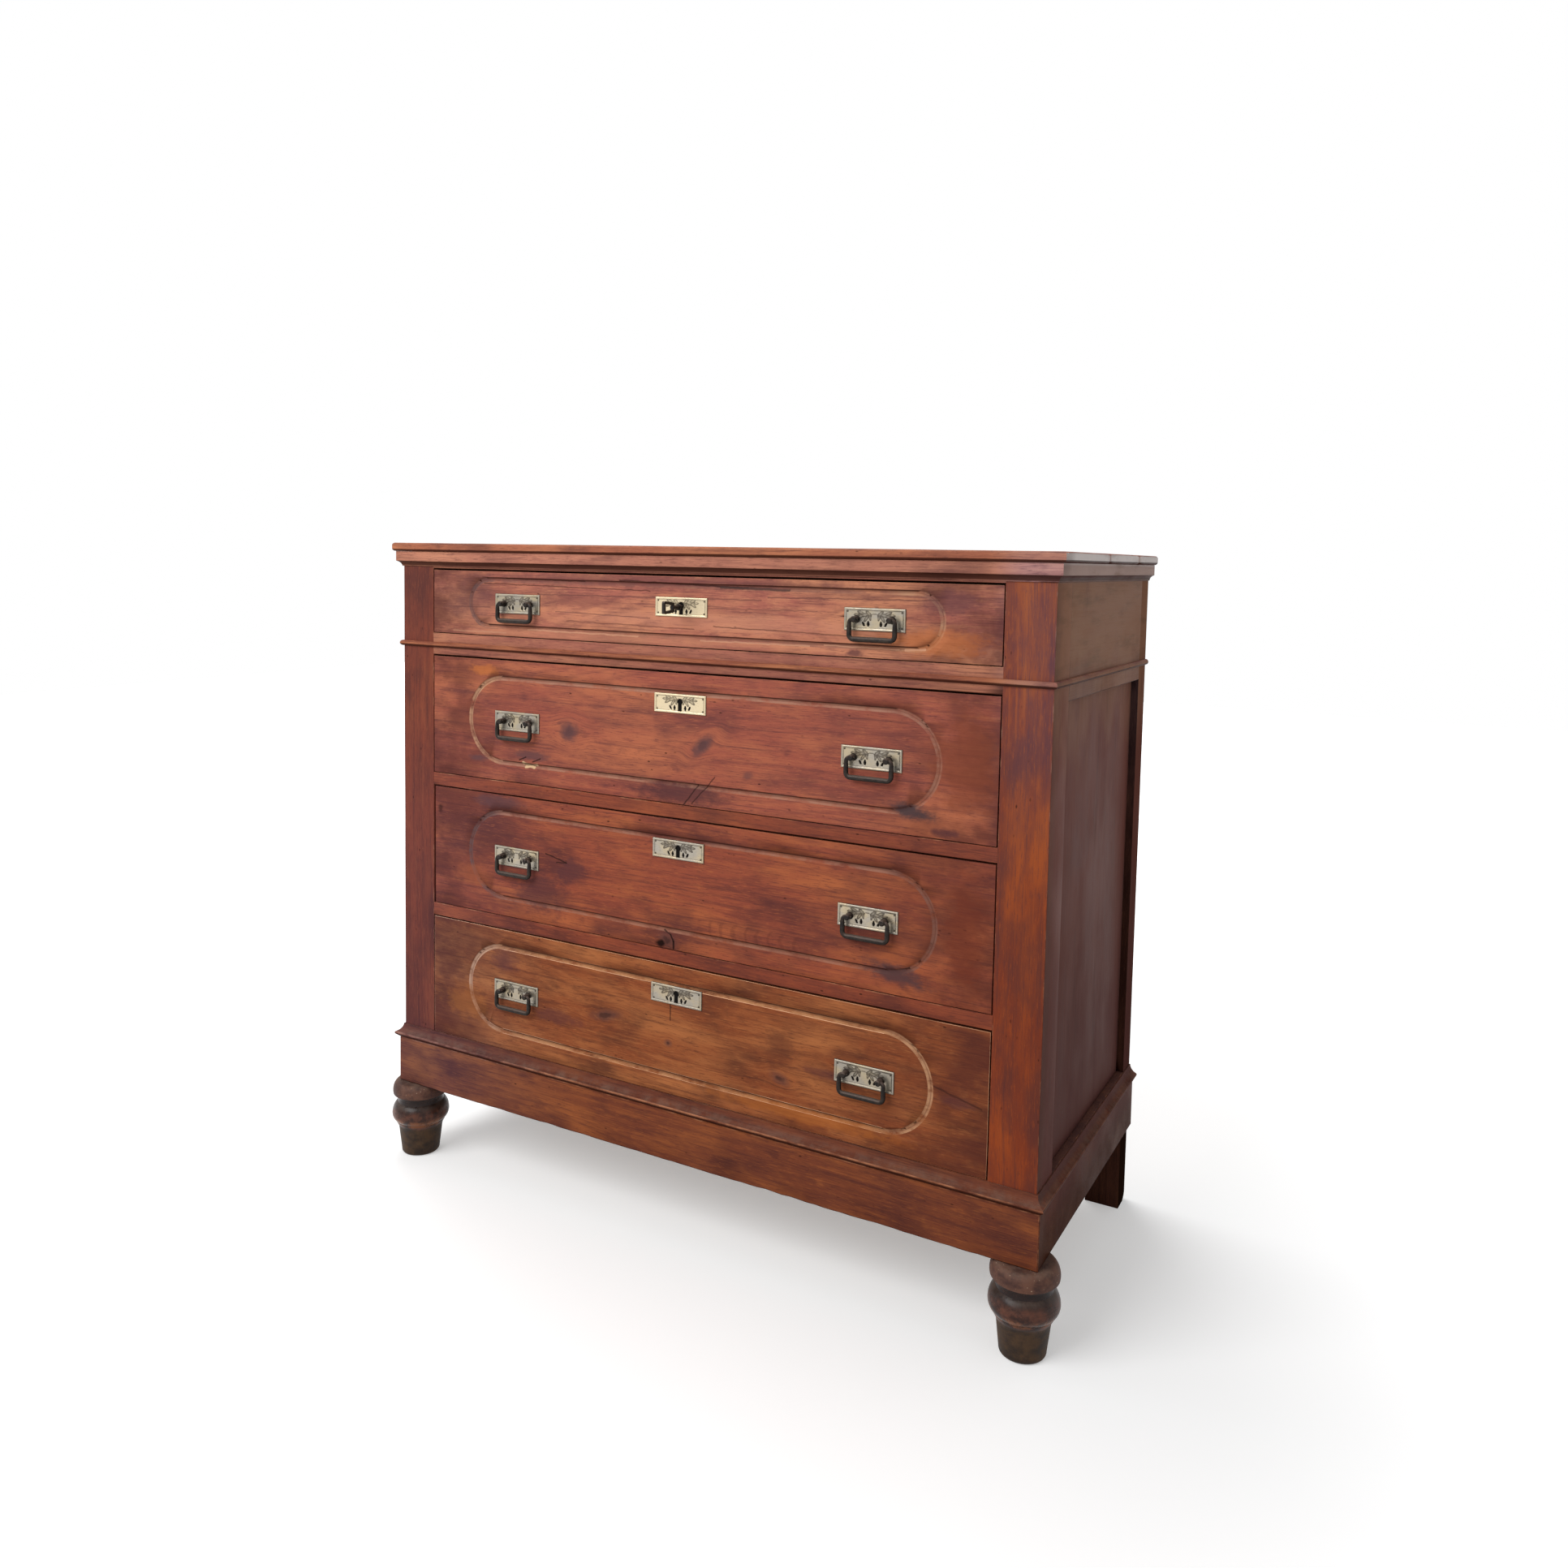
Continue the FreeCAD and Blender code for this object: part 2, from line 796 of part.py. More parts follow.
def bail():
    """A wire bail hung from its own pivot line: two legs, round corners, and a pin set in each leg."""
    leg_x = post_spacing / 2 + post_head_radius + bail_side_clearance + bail_wire_radius
    bar_x = leg_x - bail_corner_radius
    corner_z = bail_corner_radius - bail_drop
    pin_tip = post_spacing / 2 - post_head_radius - bail_pin_tip

    def at(x, z):
        return vector(x, 0, z)

    section = Part.Face(Part.Wire(Part.makeCircle(bail_wire_radius, at(leg_x, corner_z), z_axis)))
    half = [
        bar(bail_pin_radius, at(pin_tip, 0), at(leg_x, 0)),
        bar(bail_wire_radius, at(leg_x, corner_z), at(leg_x, bail_wire_radius)),
        section.revolve(at(bar_x, corner_z), y_axis, quarter_turn),
    ]
    twins = [mirrored(piece) for piece in half]
    lower_bar = bar(bail_wire_radius, at(-bar_x, -bail_drop), at(bar_x, -bail_drop))
    return lower_bar.fuse(half + twins).removeSplitter()


# Locks and key

def lock_case(number):
    """A lock's case: a thin-walled block with the bit's round chamber and the bolt's slot."""
    level = lock_level(number)
    top = drawer_levels(number)[0][1]
    block = box(span(0, lock_width), (lock_front_y, front_back_y), (level - lock_below, top))
    inside = (lock_front_y + lock_wall, front_back_y - lock_wall)
    chamber_radius = key_bit_reach + lock_bit_clearance
    chamber = bar(chamber_radius, vector(0, inside[0], level), vector(0, inside[1], level))
    slot_width = bolt_width + 2 * bolt_clearance
    slot = box(span(0, slot_width), inside, (level + bolt_gap, top + overrun))
    keyhole = keyhole_tool(level, lock_front_y - overrun, inside[0] + overrun)
    return block.cut([chamber, slot, keyhole]).removeSplitter()


def lock_bolt(number):
    """The bolt, at rest on the floor of its slot and just below the drawer's top edge."""
    level = lock_level(number)
    top = drawer_levels(number)[0][1]
    inside = (lock_front_y + lock_wall + bolt_clearance, front_back_y - lock_wall - bolt_clearance)
    floor = level + bolt_gap + bolt_clearance
    return box(span(0, bolt_width), inside, (floor, top - bolt_clearance))


def key():
    """The key in the top drawer: a flared open bow, a collared shank and a single bit."""
    level = lock_level(1)
    bow_end = front_y - key_reach
    bow_start = bow_end + key_bow_length
    chamber = (lock_front_y + lock_wall, front_back_y - lock_wall)
    tip_y = chamber[1] - lock_bit_clearance
    shank_start = bow_start - key_bow_bar
    shank = bar(key_shank_radius, vector(0, shank_start, level), vector(0, tip_y, level))
    collar_end = front_y - plate_thickness - key_collar_gap
    collar_start = collar_end - key_collar_length
    collar = bar(key_collar_radius, vector(0, collar_start, level), vector(0, collar_end, level))
    half = key_bow_thickness / 2

    def flared(inset):
        wide = key_bow_width / 2 - inset
        narrow = key_bow_throat / 2 + key_bow_bar - inset
        far = bow_end + inset
        near = bow_start - inset
        points = [
            vector(-half, far, level - wide),
            vector(-half, far, level + wide),
            vector(-half, near, level + narrow),
            vector(-half, near, level - narrow),
        ]
        return prism(points, x_axis * key_bow_thickness)

    outer = flared(0)
    long_edges = [edge for edge in outer.Edges if edge.BoundBox.XLength > half]
    bow = outer.makeFillet(key_bow_round, long_edges).cut(flared(key_bow_bar))
    bit_y = (tip_y - key_tip_length - key_bit_length, tip_y - key_tip_length)
    bit = box(span(0, key_bit_thickness), bit_y, (level - key_bit_reach, level))
    return shank.fuse([collar, bow, bit]).removeSplitter()


# The nodes, in the order in which the chest is put together

os.makedirs("parts", exist_ok=True)

right_foot = front_foot()
save("front_right_foot", [right_foot])
save("front_left_foot", [mirrored(right_foot)])

right_post = front_post()
save("front_right_post", [right_post])
save("front_left_post", [mirrored(right_post)])

right_rear_post = rear_post()
save("rear_right_post", [right_rear_post])
save("rear_left_post", [mirrored(right_rear_post)])

save("frieze_boards", pair(side_board(*frieze_span)))
save("side_bottom_rails", pair(side_board(*side_rail_span)))

right_panel = side_panel()
save("right_side_panel", [right_panel])
save("left_side_panel", [mirrored(right_panel)])

save("drawer_rails", [front_rail(*rail, True) for rail in rail_over.values()])
save("bottom_front_rail", [front_rail(*bottom_rail_span, False)])
save("back_rails", [back_rail(*rail) for rail in back_rail_spans])
save("bottom_board", [bottom_board()])

runners = []
stops = []
for number in opening:
    runners += pair(runner(opening[number][0]))
    stops += pair(drawer_stop(opening[number][0]))
save("drawer_runners", runners + pair(kicker()))
save("drawer_stops", stops)

save("back_boards", back_boards())
save("plinth", plinth())
save("base_cap", base_cap())
save("bead_moulding", bead_moulding())
save("top_moulding", top_moulding())
save("top_board", [top_board()])

post = eye_post()
handle = bail()
for number in sorted(opening):
    name = "drawer_%d_" % number
    save(name + "front", [drawer_front(number)])
    save(name + "sides", pair(drawer_side(number)))
    save(name + "back", [drawer_back(number)])
    save(name + "bottom", [drawer_bottom(number)])
    save(name + "plates", plates(number))
    save(name + "posts", [post.translated(vector(x, 0, z)) for x, z in post_places(number)])
    lock = [lock_case(number)]
    if number == 1:
        save(name + "bolt", [lock_bolt(number)])
    else:
        lock.append(lock_bolt(number))
    save(name + "lock", lock)
    for side, offset in (("left", -handle_offset), ("right", handle_offset)):
        place = vector(offset, pivot_y, handle_level(number))
        save(name + side + "_bail", [handle.translated(place)])
save("drawer_1_key", [key()])
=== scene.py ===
import math

import bmesh
import bpy
from mathutils import Matrix, Vector, noise


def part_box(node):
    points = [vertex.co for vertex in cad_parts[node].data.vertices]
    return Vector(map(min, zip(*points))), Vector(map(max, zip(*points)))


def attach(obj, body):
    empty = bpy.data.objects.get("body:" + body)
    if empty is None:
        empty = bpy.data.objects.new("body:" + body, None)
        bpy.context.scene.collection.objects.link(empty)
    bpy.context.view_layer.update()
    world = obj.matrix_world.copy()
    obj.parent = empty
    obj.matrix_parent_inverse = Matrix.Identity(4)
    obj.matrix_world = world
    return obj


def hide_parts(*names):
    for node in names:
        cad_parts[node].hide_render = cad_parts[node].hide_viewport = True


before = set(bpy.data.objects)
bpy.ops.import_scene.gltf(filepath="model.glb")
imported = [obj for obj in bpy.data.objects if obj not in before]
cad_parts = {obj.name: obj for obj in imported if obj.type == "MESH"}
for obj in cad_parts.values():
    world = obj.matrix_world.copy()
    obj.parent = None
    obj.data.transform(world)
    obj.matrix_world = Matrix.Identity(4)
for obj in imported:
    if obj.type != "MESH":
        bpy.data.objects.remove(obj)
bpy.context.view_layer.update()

# Front feet: two feet turned from dark hardwood, each with a disc collar, a narrow neck, a bulb
# and a tapered toe. A turned tenon on top holds each one up in the end of its corner post.
foot_height = 0.113
foot_tenon = (0.009, 0.143)
foot_collar = ((0.0325, 0.0985), (0.0088, 0.0145))
foot_collar_turn = (84, -18, 14)
foot_collar_lip = (0.0402, 0.0936)
foot_neck = ((0.0345, 0.0926), (0.0334, 0.0885), (0.0337, 0.0845))
foot_bulb_top = ((0.027, 0.0630), (0.0155, 0.0205))
foot_bulb_top_turn = (62, 4, 10)
foot_bulb_foot = ((0.027, 0.0630), (0.0155, 0.0150))
foot_bulb_foot_turn = (0, -52, 9)
foot_ankle = ((0.0361, 0.0486), (0.0340, 0.0452), (0.0326, 0.0415), (0.0318, 0.0370), (0.0312, 0.0310))
foot_toe = ((0.0236, 0.0050), (0.0046, 0.0050))
foot_toe_turn = (6, -90, 6)
foot_turns = 96
foot_wobble = 0.0003
foot_wobble_size = 0.03
merge_gap = 1e-6
wear_seed = 5
noise.seed_set(wear_seed)


def add(tree, kind, inputs=None, **settings):
    """Adds a shader node, whose inputs take a number, a colour or another node's output."""
    made = tree.nodes.new("ShaderNode" + kind)
    for name, setting in settings.items():
        setattr(made, name, setting)
    for socket, source in (inputs or {}).items():
        if isinstance(source, bpy.types.NodeSocket):
            tree.links.new(source, made.inputs[socket])
        else:
            made.inputs[socket].default_value = source
    return made


def maths(tree, operation, first, second=0.0):
    """One sum of two values."""
    return add(tree, "Math", {0: first, 1: second}, operation=operation).outputs[0]


def times(tree, first, second):
    """One value times another."""
    return maths(tree, "MULTIPLY", first, second)


def plus(tree, first, second):
    """Two values added up."""
    return maths(tree, "ADD", first, second)


def less(tree, first, second):
    """One value less another."""
    return maths(tree, "SUBTRACT", first, second)


def eased(tree, value, low, high, most=1.0):
    """A value turned into a soft mask that rises from none at low to most at high."""
    ends = {"Value": value, "From Min": low, "From Max": high, "To Max": most}
    return add(tree, "MapRange", ends, interpolation_type="SMOOTHSTEP").outputs[0]


def tinted(tree, mask, below, above, blend="MIX"):
    """One colour laid over another through a mask."""
    return add(tree, "Mix", {0: mask, 6: below, 7: above}, data_type="RGBA", blend_type=blend).outputs[2]


def glazed(tree, colour, *coats):
    """Lays coats over a colour in turn, each one given as (value, low, high, most, tone)."""
    for value, low, high, most, tone in coats:
        colour = tinted(tree, eased(tree, value, low, high, most), colour, tone)
    return colour


def vectors(tree, operation, first, second):
    """One sum of two vectors."""
    return add(tree, "VectorMath", {0: first, 1: second}, operation=operation).outputs[0]


def stretched(tree, vector, scale):
    """Coordinates multiplied on each axis, so that a pattern runs long or short."""
    return vectors(tree, "MULTIPLY", vector, scale)


def cloudy(tree, vector, scale, detail=3.0, roughness=0.55):
    """A soft random pattern between 0 and 1, with its scale in turns per metre on each axis."""
    spots = {"Vector": stretched(tree, vector, scale), "Scale": 1.0}
    return add(tree, "TexNoise", {**spots, "Detail": detail, "Roughness": roughness}).outputs["Fac"]


def axes(tree, vector):
    """The three parts of a vector."""
    return add(tree, "SeparateXYZ", {0: vector}).outputs


def facing(tree):
    """Which way the surface faces, on the piece's own axes."""
    return axes(tree, add(tree, "TexCoord").outputs["Normal"])


def srgb(red, green, blue):
    """A finish's red, green and blue, each 0 to 255, as a shader colour."""
    parts = [part / 255 for part in (red, green, blue)]
    return tuple(p / 12.92 if p <= 0.04045 else ((p + 0.055) / 1.055) ** 2.4 for p in parts) + (1.0,)


def new_group(name, inputs, outputs):
    """An empty shader node group with its named sockets, and its two ends."""
    tree = bpy.data.node_groups.new(name, "ShaderNodeTree")
    for label, kind in inputs.items():
        tree.interface.new_socket(name=label, in_out="INPUT", socket_type="NodeSocket" + kind)
    for label, kind in outputs.items():
        tree.interface.new_socket(name=label, in_out="OUTPUT", socket_type="NodeSocket" + kind)
    return tree, tree.nodes.new("NodeGroupInput").outputs, tree.nodes.new("NodeGroupOutput").inputs


def new_material(name):
    """A material with its own Principled shader, and the piece's own coordinates."""
    material = bpy.data.materials.new(name)
    material.use_nodes = True
    tree = material.node_tree
    return material, tree, tree.nodes["Principled BSDF"], add(tree, "TexCoord").outputs["Object"]


def coated(tree, shader, colour, rough, height, depth, strength, gloss):
    """Joins a finish to its shader: colour, roughness, fine relief and how much the surface shines."""
    tree.links.new(colour, shader.inputs["Base Color"])
    tree.links.new(rough, shader.inputs["Roughness"])
    bump = add(tree, "Bump", {"Height": height, "Distance": depth, "Strength": strength})
    tree.links.new(bump.outputs[0], shader.inputs["Normal"])
    shader.inputs["Specular IOR Level"].default_value = gloss


def settled_dust():
    """Grey house dust that lies in patches on whatever faces up."""
    tree, into, out = new_group(
        "settled_dust",
        {"Color": "Color", "Vector": "Vector", "Amount": "Float"},
        {"Color": "Color", "Mask": "Float"},
    )
    patches = eased(tree, cloudy(tree, into["Vector"], (60, 60, 60), 5.0, 0.7), 0.3, 0.7)
    lying = times(tree, eased(tree, facing(tree)["Z"], 0.25, 0.95), patches)
    mask = times(tree, lying, into["Amount"])
    tree.links.new(tinted(tree, mask, into["Color"], srgb(139, 121, 108)), out["Color"])
    tree.links.new(mask, out["Mask"])
    return tree


dust = settled_dust()


def turned_wood():
    """Dark glossy turned wood, worn to olive and orange on the toe and dusty on the collar."""
    material, tree, shader, place = new_material("dark_turned_wood")
    height = axes(tree, place)["Z"]
    rings = cloudy(tree, place, (14, 14, 420))
    blotches = cloudy(tree, place, (45, 45, 60), 5.0, 0.65)
    upright = cloudy(tree, place, (150, 150, 22), 5.0, 0.7)
    colour = tinted(tree, eased(tree, blotches, 0.35, 0.68), srgb(44, 25, 21), srgb(100, 60, 45))
    colour = tinted(tree, eased(tree, rings, 0.55, 0.75, 0.5), colour, srgb(30, 18, 16))
    shoulder = times(tree, eased(tree, height, 0.068, 0.079), eased(tree, height, 0.095, 0.092))
    colour = tinted(tree, times(tree, shoulder, 0.8), colour, srgb(28, 18, 17))
    collar = eased(tree, height, 0.0925, 0.0945)
    collar_tone = tinted(tree, eased(tree, blotches, 0.38, 0.62), srgb(70, 44, 38), srgb(102, 71, 58))
    colour = tinted(tree, times(tree, collar, 0.75), colour, collar_tone)
    band = times(tree, eased(tree, height, 0.062, 0.057), eased(tree, height, 0.0475, 0.0505))
    band = times(tree, band, eased(tree, blotches, 0.38, 0.58, 0.7))
    colour = tinted(tree, band, colour, srgb(136, 82, 46))
    toe = eased(tree, plus(tree, height, times(tree, blotches, 0.012)), 0.0545, 0.0485)
    olive = tinted(tree, eased(tree, blotches, 0.36, 0.66), srgb(38, 26, 17), srgb(72, 54, 36))
    olive = tinted(tree, eased(tree, upright, 0.5, 0.7, 0.6), olive, srgb(48, 36, 28))
    colour = tinted(tree, times(tree, toe, 0.9), colour, olive)
    cracks = times(tree, eased(tree, upright, 0.30, 0.25), eased(tree, height, 0.036, 0.028))
    colour = tinted(tree, cracks, colour, srgb(20, 14, 11))
    chips = add(tree, "TexVoronoi", {"Vector": place, "Scale": 190.0}).outputs["Distance"]
    flecks = times(tree, eased(tree, chips, 0.15, 0.08), eased(tree, blotches, 0.50, 0.58))
    flecks = times(tree, flecks, collar)
    colour = tinted(tree, flecks, colour, srgb(176, 150, 126))
    settled = add(tree, "Group", {"Color": colour, "Vector": place, "Amount": 0.3}, node_tree=dust)
    rough = plus(tree, eased(tree, blotches, 0.3, 0.8, 0.2), 0.2)
    rough = plus(tree, rough, times(tree, maths(tree, "MAXIMUM", toe, collar), 0.3))
    rough = plus(tree, rough, settled.outputs["Mask"])
    relief = less(tree, plus(tree, upright, rings), cracks)
    coated(tree, shader, settled.outputs["Color"], rough, relief, depth=0.0006, strength=0.35, gloss=0.2)
    return material


def arc(ellipse, start, end, steps):
    """Points on part of an ellipse of (centre, radii), with its angles in degrees from straight out."""
    (across, up), (wide, tall) = ellipse
    turns = [math.radians(start + (end - start) * step / steps) for step in range(steps + 1)]
    return [(across + wide * math.cos(turn), up + tall * math.sin(turn)) for turn in turns]


def closed(shape):
    """Merges the seams of a turned or mirrored shape, and then points its faces outwards."""
    bmesh.ops.remove_doubles(shape, verts=shape.verts, dist=merge_gap)
    bmesh.ops.recalc_face_normals(shape, faces=shape.faces)


def lathe(profile, steps):
    """Turns a profile of (radius, height) points about the upright axis."""
    shape = bmesh.new()
    points = [shape.verts.new((radius, 0, height)) for radius, height in profile]
    line = [shape.edges.new(pair) for pair in zip(points, points[1:])]
    bmesh.ops.spin(
        shape, geom=points + line, cent=(0, 0, 0), axis=(0, 0, 1), angle=math.tau, steps=steps,
        use_merge=True,
    )
    closed(shape)
    return shape


def weathered(shape, size, depth):
    """Moves the surface a little, the same way wherever two pieces meet, inside the piece's own box."""
    places = [[vert.co[axis] for vert in shape.verts] for axis in range(3)]
    ends = [(min(along), max(along)) for along in places]
    for vert in shape.verts:
        moved = vert.co + noise.noise_vector(vert.co / size) * depth
        vert.co = [min(max(moved[axis], ends[axis][0]), ends[axis][1]) for axis in range(3)]


def dressed(name, shape, material, body, slot, *stands_for, crease=32):
    """Makes a finished shape a piece of the chest: it rides on a body and stands for CAD nodes."""
    mesh = bpy.data.meshes.new(name)
    shape.to_mesh(mesh)
    shape.free()
    mesh.shade_smooth()
    mesh.set_sharp_from_angle(angle=math.radians(crease))
    mesh.materials.append(material)
    piece = bpy.data.objects.new(name, mesh)
    bpy.context.scene.collection.objects.link(piece)
    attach(piece, body)
    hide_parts(*stands_for)
    return piece


foot_profile = [(0, foot_tenon[1]), foot_tenon, (foot_tenon[0], foot_height)]
foot_profile += arc(foot_collar, *foot_collar_turn)
foot_profile.append(foot_collar_lip)
foot_profile += foot_neck
foot_profile += arc(foot_bulb_top, *foot_bulb_top_turn)
foot_profile += arc(foot_bulb_foot, *foot_bulb_foot_turn)
foot_profile += foot_ankle
foot_profile += arc(foot_toe, *foot_toe_turn)
foot_profile.append((0, 0))
foot_wood = turned_wood()
for side in ("right", "left"):
    node = "front_" + side + "_foot"
    low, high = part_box(node)
    foot = lathe(foot_profile, foot_turns)
    middle = (low + high) / 2
    bmesh.ops.translate(foot, verts=foot.verts, vec=(middle.x, middle.y, 0))
    weathered(foot, foot_wobble_size, foot_wobble)
    dressed(node + "_turning", foot, foot_wood, "case", "dark_turned_wood", node)


# Corner posts: two square front posts over the feet and two rear posts that run down to the floor,
# of softwood stained red-brown, with mortises for every rail and a groove for the side panels.
along_x = (0, 0, 0)
along_y = (0, 0, -math.pi / 2)
along_z = (0, math.pi / 2, 0)
post_edge = 0.0016
post_long = 0.3
post_step = 0.045
wear_depth = 0.00022
wear_size = 0.05
wood_gloss = 0.01
worn_pine = srgb(168, 112, 82)
same_place = 5e-6
just_inside = 0.0002
flat_within = math.radians(0.5)
square_from = 0.5
sliver = 2e-6


def pine_figure():
    """Stained softwood: streaks along X, nested growth lines, cloudy dark and warm patches, and pits."""
    inputs = {"Vector": "Vector", "Red": "Color", "Dark": "Color", "Warm": "Color"}
    tree, into, out = new_group(
        "stained_pine_figure",
        {**inputs, "Dark Share": "Float", "Warm Share": "Float"},
        {"Color": "Color", "Roughness": "Float", "Height": "Float"},
    )
    sway = {"Vector": stretched(tree, into["Vector"], (2.2, 9, 9)), "Scale": 1.0, "Detail": 2.0}
    swayed = add(tree, "TexNoise", sway).outputs["Color"]
    swayed = vectors(tree, "SUBTRACT", swayed, (0.5, 0.5, 0.5))
    swayed = stretched(tree, swayed, (0.0, 0.014, 0.014))
    grain = vectors(tree, "ADD", into["Vector"], swayed)
    fine = cloudy(tree, grain, (11, 620, 620), 3.0, 0.6)
    flecks = cloudy(tree, grain, (70, 780, 780), 3.0, 0.65)
    streaks = cloudy(tree, grain, (4.5, 190, 190), 4.0, 0.65)
    slow = cloudy(tree, grain, (1.3, 9, 9), 1.0)
    lines = maths(tree, "SINE", times(tree, slow, 110.0))
    dark_clouds = cloudy(tree, grain, (7.5, 15, 15), 3.0, 0.58)
    elsewhere = vectors(tree, "ADD", grain, (3.1, 1.7, 5.3))
    warm_clouds = cloudy(tree, elsewhere, (5, 18, 18), 3.0, 0.6)
    mottle = cloudy(tree, grain, (24, 58, 58), 5.0, 0.65)
    dark = eased(tree, plus(tree, dark_clouds, into["Dark Share"]), 0.70, 0.98)
    warm = eased(tree, plus(tree, warm_clouds, into["Warm Share"]), 0.68, 0.98)
    colour = glazed(
        tree,
        tinted(tree, warm, into["Red"], into["Warm"]),
        (lines, 0.2, 1.0, 0.22, into["Dark"]),
        (mottle, 0.45, 0.28, 0.5, into["Warm"]),
        (mottle, 0.55, 0.74, 0.5, into["Dark"]),
        (streaks, 0.47, 0.3, 0.55, into["Warm"]),
        (streaks, 0.53, 0.72, 0.6, into["Dark"]),
    )
    colour = glazed(
        tree,
        tinted(tree, times(tree, dark, 0.8), colour, into["Dark"]),
        (fine, 0.53, 0.7, 0.5, into["Dark"]),
        (flecks, 0.45, 0.3, 0.5, into["Warm"]),
        (flecks, 0.55, 0.68, 0.55, into["Dark"]),
    )
    dotted = {"Vector": stretched(tree, grain, (55, 120, 120)), "Scale": 1.0}
    pits = add(tree, "TexVoronoi", dotted).outputs["Distance"]
    thin_out = eased(tree, cloudy(tree, grain, (22, 40, 40), 2.0), 0.53, 0.66)
    pits = times(tree, eased(tree, pits, 0.16, 0.07), thin_out)
    colour = tinted(tree, times(tree, pits, 0.75), colour, srgb(40, 22, 18))
    tree.links.new(colour, out["Color"])
    rough = plus(tree, eased(tree, dark_clouds, 0.3, 0.75, 0.14), 0.40)
    tree.links.new(plus(tree, rough, eased(tree, fine, 0.4, 0.8, 0.1)), out["Roughness"])
    relief = plus(tree, times(tree, streaks, 0.7), times(tree, fine, 0.5))
    tree.links.new(less(tree, relief, pits), out["Height"])
    return tree


def rubbed_edges():
    """Stain rubbed off the eased edges of a board, down to pale wood, in broken lengths."""
    tree, into, out = new_group(
        "rubbed_edges",
        {"Color": "Color", "Vector": "Vector", "Edge": "Float", "Pale": "Color", "Amount": "Float"},
        {"Color": "Color"},
    )
    lengths = cloudy(tree, into["Vector"], (34, 70, 70), 4.0, 0.65)
    broken = eased(tree, plus(tree, lengths, into["Amount"]), 0.68, 1.02)
    mask = times(tree, broken, into["Edge"])
    tree.links.new(tinted(tree, mask, into["Color"], into["Pale"]), out["Color"])
    return tree


def aged_side_and_painted_light():
    """Painted sheen on the upper and left parts, duller ends pale at the top with painted shade at the foot,
    and painted shade on undersides.
    """
    tree, into, out = new_group("aged_side_and_painted_light", {"Color": "Color", "Vector": "Vector"}, {"Color": "Color"})
    faces = facing(tree)
    sideways = eased(tree, maths(tree, "ABSOLUTE", faces["X"]), 0.6, 0.9, 0.86)
    place = axes(tree, into["Vector"])
    outside = eased(tree, maths(tree, "ABSOLUTE", place["X"]), 0.470, 0.479)
    height = place["Z"]
    clouds = cloudy(tree, into["Vector"], (12, 12, 6), 4.0, 0.6)
    strokes = eased(tree, cloudy(tree, into["Vector"], (60, 60, 9), 4.0, 0.6), 0.5, 0.8, 0.45)
    drift = plus(tree, height, times(tree, less(tree, clouds, 0.5), 0.3))
    tone = tinted(tree, eased(tree, drift, 0.25, 0.75), srgb(88, 55, 51), srgb(112, 68, 58))
    # Painted shade: the ends turn dark brown towards the plinth.
    tone = tinted(tree, eased(tree, height, 0.13, 0.19), srgb(58, 32, 22), tone)
    tone = tinted(tree, eased(tree, drift, 0.66, 0.84), tone, srgb(147, 106, 82))
    tone = tinted(tree, times(tree, strokes, eased(tree, height, 0.80, 0.76)), tone, srgb(70, 48, 44))
    tone = glazed(
        tree,
        tone,
        (clouds, 0.55, 0.75, 0.5, srgb(92, 68, 66)),
        # The ends are drawn pale grey at the top of the moulding under the top, and near white along the top
        # board.
        (height, 0.902, 0.907, 1.0, srgb(178, 154, 144)),
        (height, 0.922, 0.928, 1.0, srgb(238, 230, 226)),
        # Painted shadow: the ends go near black at the foot.
        (height, 0.118, 0.108, 1.0, srgb(22, 12, 7)),
    )
    marks = eased(tree, cloudy(tree, into["Vector"], (12, 9, 48), 4.0, 0.6), 0.48, 0.7, 0.45)
    tone = tinted(tree, times(tree, marks, eased(tree, height, 0.76, 0.80)), tone, srgb(100, 78, 58))
    tone = tinted(tree, eased(tree, place["Y"], -0.165, -0.195, 0.35), tone, srgb(84, 70, 62))
    # Painted sheen: the upper parts lighter and pinker, the upper left more so, the lower left darker and
    # more purple, and the top of the right post pinker.
    painted_sheen_tint = (1.06, 1.2, 1.33, 1.0)
    colour = tinted(tree, eased(tree, height, 0.30, 0.86), into["Color"], painted_sheen_tint, "MULTIPLY")
    for across, level, light in (
        ((-0.15, -0.45), (0.75, 0.40), (0.97, 1.12, 1.42, 1.0)),
        ((-0.10, -0.45), (0.22, 0.18), (0.86, 0.93, 1.16, 1.0)),
        ((0.42, 0.47), (0.50, 0.80), (1.03, 1.28, 1.75, 1.0)),
    ):
        corner = times(tree, eased(tree, place["X"], *across), eased(tree, height, *level))
        colour = tinted(tree, corner, colour, light, "MULTIPLY")
    colour = tinted(tree, times(tree, sideways, outside), colour, tone)
    # Painted shade: faces that turn downward, such as the cove under the top, are drawn dark.
    under = eased(tree, faces["Z"], 0.0, -0.38, 0.88)
    tree.links.new(tinted(tree, under, colour, srgb(48, 20, 14)), out["Color"])
    return tree


figure = pine_figure()
rubbed = rubbed_edges()
sides = aged_side_and_painted_light()


